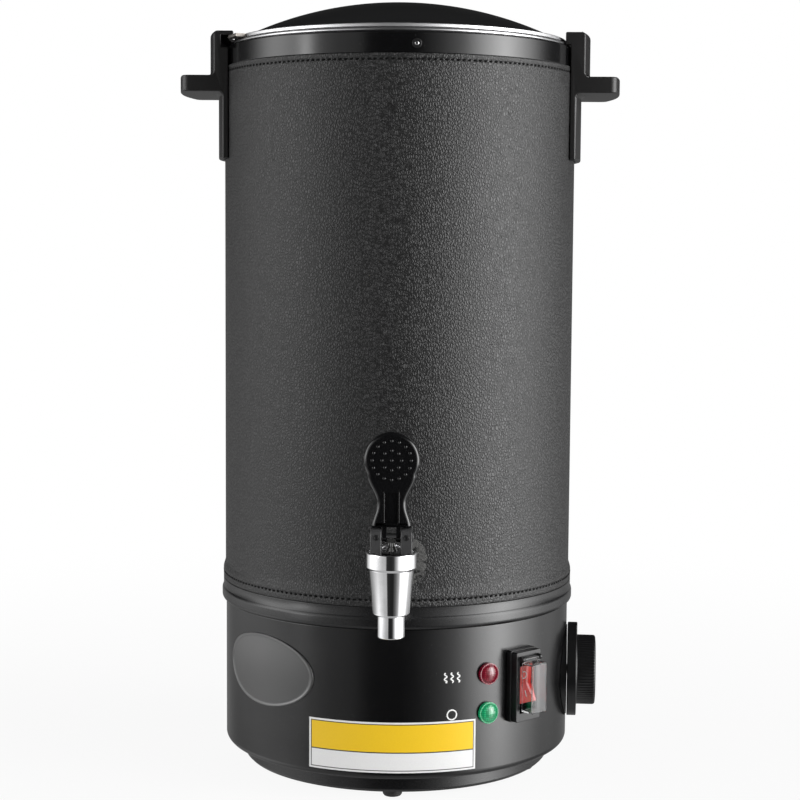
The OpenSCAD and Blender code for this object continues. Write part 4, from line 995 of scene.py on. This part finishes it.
def make_knob():
    """Dial: a turned outline whose grip radius also rises and falls as a cosine, once for each of 72 ribs."""
    ribs, segments = 72, 720
    outline = rounded([(0, 114.3), (30.4, 114.3, 0.4), (30.4, 120.3, 0.6), (22.9, 120.3, 0.7),
                       (22.5, 132.6, 1.3), (19.0, 132.9, 0.8), (17.0, 132.3, 0.8), (0, 132.55)])
    local = spin(outline, segments)
    ribbed = (outline[:, 0] > 21.6) & (outline[:, 1] > 121.1)
    fade = np.clip((132.5 - outline[:, 1]) / 1.2, 0, 1) * ribbed
    swing = 0.3 * np.cos(ribs * np.arange(segments) * TAU / segments)
    stretch = 1 + np.outer(swing, fade) / np.maximum(outline[:, 0], 1)
    local[..., :2] *= stretch[..., None]
    base = outward(KNOB_AZ, KNOB_Z)
    dress(piece("dial_knob", *skin(carry(base, local), True, False)), "control_plastic", "knob", body="dial")
    nose = [(-3.4, 22.9), (3.4, 22.9), (3.3, 30.2), (2.2, 31.4), (-2.2, 31.4), (-3.3, 30.2)]
    pointer = piece("dial_pointer", *prism(nose, 114.4, 120.7, base))
    dress(bevel(pointer, 0.5, 2), "control_plastic", body="dial")
    y = np.linspace(25.2, 30.4, 6)
    path = carry(base, np.column_stack([0 * y, y, np.full(6, 120.72)]))
    line = ribbon(path, base[3], 0.9, 0.08)
    white_mark("dial_pointer_line", skin(line, False, True), "dial")
    mould("dial_seat", "knob_seat", 0.4)
    mould("gland_moulding", "cable_gland", 0.5)


# ---- Tap ----
def make_tap():
    """Drain tap: barrel, shank, bonnet, bosses and plugs at the pivot, lever, stem flare and washer."""
    z = TAP_TO
    barrel = rounded([(5.5, z["spout"], 0.4), (SPOUT_R, z["spout"], 0.8), (SPOUT_R, z["cone"] - 1, 0.4),
                      (CONE_R, z["cone"], 0.9), (TAPER_R, z["taper"], 0.5), (COLLAR_R, z["collar"], 0.6),
                      (COLLAR_R, z["top"], 0.9), (TAPER_R, z["top"], 0.3), (TAPER_R, z["recess"]),
                      (11.1, z["recess"]), (11.1, z["bush"]), (9.3, z["bush"]), (9.3, z["seat"]),
                      (5.5, z["seat"])])
    dress(turned("tap_barrel", barrel, 160, upright(0, TAP_Y)), "chrome", "tap_body")
    shank = rounded([(5, 88.5, 0.3), (8, 88.5, 0.6), (8, 115.9), (12, 115.9, 0.3), (12, 118.9, 0.8),
                     (8, 118.9, 0.8), (8, 142), (5, 142)])
    dress(turned("tap_shank", shank, 96, outward(0, SHANK_Z)), "chrome", "tap_body")

    mould("bonnet_moulding", "tap_bonnet", 0.6, finish_name="bonnet_plastic")
    boss = rounded([(0, 11.8), (3.7, 11.8), (3.7, 12.9, 0.5), (1.6, 12.9, 0.2), (1.4, 12.6, 0.2), (0, 12.7)])
    ends = []
    for side in (1, -1):
        pivot = np.array([[0, PIVOT_Y, PIVOT_Z], [0, 1, 0], [0, 0, 1], [side, 0, 0]], float)
        ends.append(carry(pivot, spin(boss, 48)))
    dress(piece("pivot_bosses", *several(ends, (True, False))), "control_plastic")

    plug = rounded([(0, -0.6), (1.7, -0.6), (1.7, 0.25, 0.2), (1.2, 0.25), (1.0, 0.1), (0, 0.1)])
    front = lever_face()
    front[0] += [0, -5, -0.4]
    grids = [carry(front, spin(plug, 32) + [x, 0, 0]) for x in (-8.7, 8.7)]
    dress(piece("post_plugs", *several(grids, (True, False))), "control_plastic")
    make_lever()
    make_lever_pad()

    flare = rounded([(1.62, 164.6), (3.6, 164.6, 0.3), (2.1, 167.8, 1.5), (1.75, 169.6), (1.62, 169.6)])
    dress(turned("stem_flare", flare, 48, upright(0, TAP_Y)), "zinc", body="stem")
    mould("washer_moulding", "tap_washer", 0.5)


def lever_face():
    """Frame on the lever: x to the right, y up from the pivot, and the third axis out towards the hand."""
    return np.array([[0, PIVOT_Y, PIVOT_Z], [1, 0, 0], [0, 0, 1], [0, -1, 0]], float)


def make_lever():
    """Lever: a plate round the outline of foot, neck and paddle, with a quarter circle round both edges.

    Each ring is the outline moved inwards along its own normals. The hub below it stays the solid's own.
    """
    up = np.linspace(5.6, 34.9, 44)
    low = 8.45 + (11.4 - 8.45) * (0.5 + 0.5 * np.cos(math.pi * (up - 5.6) / 13.4))
    high = 8.45 + (14.3 - 8.45) * (0.5 - 0.5 * np.cos(math.pi * (up - 19) / 17.5))
    side = np.column_stack([np.where(up < 19, low, high), up])
    turn = np.radians(np.linspace(-28.6, 208.6, 110))
    disc = np.column_stack([PADDLE_R * np.cos(turn), PADDLE_UP + PADDLE_R * np.sin(turn)])
    outline = np.concatenate([side, disc, side[::-1] * [-1, 1]])
    ahead, behind = np.roll(outline, -1, 0) - outline, outline - np.roll(outline, 1, 0)
    ahead, behind = (d / np.hypot(d[:, 0], d[:, 1])[:, None] for d in (ahead, behind))
    normals = np.column_stack([(ahead + behind)[:, 1], -(ahead + behind)[:, 0]])
    normals *= 2 / np.sum(normals ** 2, axis=1)[:, None]
    quarter, back, front = np.linspace(0, math.pi / 2, 9), 0.9, 2.3
    rings = [(back * (1 - math.sin(a)), -LEVER_FACE + back * (1 - math.cos(a))) for a in quarter]
    rings += [(front * (1 - math.cos(a)), LEVER_FACE - front * (1 - math.sin(a))) for a in quarter]
    grid = np.stack([np.column_stack([outline - inset * normals, np.full(len(outline), h)])
                     for inset, h in rings])
    base = lever_face()
    plate = piece("lever_moulding", *skin(carry(base, grid), False, True))
    slot = [(-3.9, 8), (3.9, 8), (3.9, 26), (-3.9, 26)]
    cut(plate, piece("slot", *prism(slot, 2.8, 9, base)))
    bevel(plate, 0.4, 3, 50)
    dress(plate, "lever_plastic", "tap_lever", body="lever")
    corner = rounded([(-4.3, 7.6, 0.9), (4.3, 7.6, 0.9), (4.3, 26.4, 0.9), (-4.3, 26.4, 0.9)])
    path = carry(base, np.column_stack([corner, np.full(len(corner), LEVER_FACE)]))
    rim = piece("lever_slot_rim", *skin(ribbon(path, base[3], 0.8, 0.3, True)))
    dress(bevel(rim, 0.15, 2, 40), "lever_plastic", body="lever")
    hub = softened("lever_hub", "tap_lever", 0.2)
    hub.modifiers.clear()
    above = [(-30, 6.4), (30, 6.4), (30, 80), (-30, 80)]
    cut(hub, piece("above", *prism(above, -20, 20, base)))
    dress(hub, "lever_plastic", body="lever")


def make_lever_pad():
    """Grip domes on the lever's round end: one at the centre and the rest on two circles."""
    base = lever_face()
    spots = [(0.0, 0.0)]
    spots += [(5.7, a) for a in np.arange(8) * TAU / 8]
    spots += [(11.3, a) for a in np.arange(16) * TAU / 16]
    t = np.linspace(0, 1, 5) * math.pi / 2
    dome = np.column_stack([0.95 * np.sin(t), 0.55 * np.cos(t)])
    dome = np.concatenate([dome, [[0.95, -0.3], [0.0, -0.3]]])
    grids = [carry(base, spin(dome, 12) + [r * math.cos(a), PADDLE_UP + r * math.sin(a), LEVER_FACE])
             for r, a in spots]
    dress(piece("lever_pad_domes", *several(grids, (True, False))), "lever_plastic", body="lever")


# ---- The whole ----
aim_camera()
light_studio()
lay_floor()
mix_finishes()
for node, solid in NODES.items():
    for place in solid.material_slots:
        place.material = FINISHES["rubber" if node == "lid_seal" else SLOT_OF[node]]
for make in (make_lid, make_pot, make_band, make_jacket, make_handles, make_base, make_badge, make_marks,
             make_controls, make_tap):
    make()
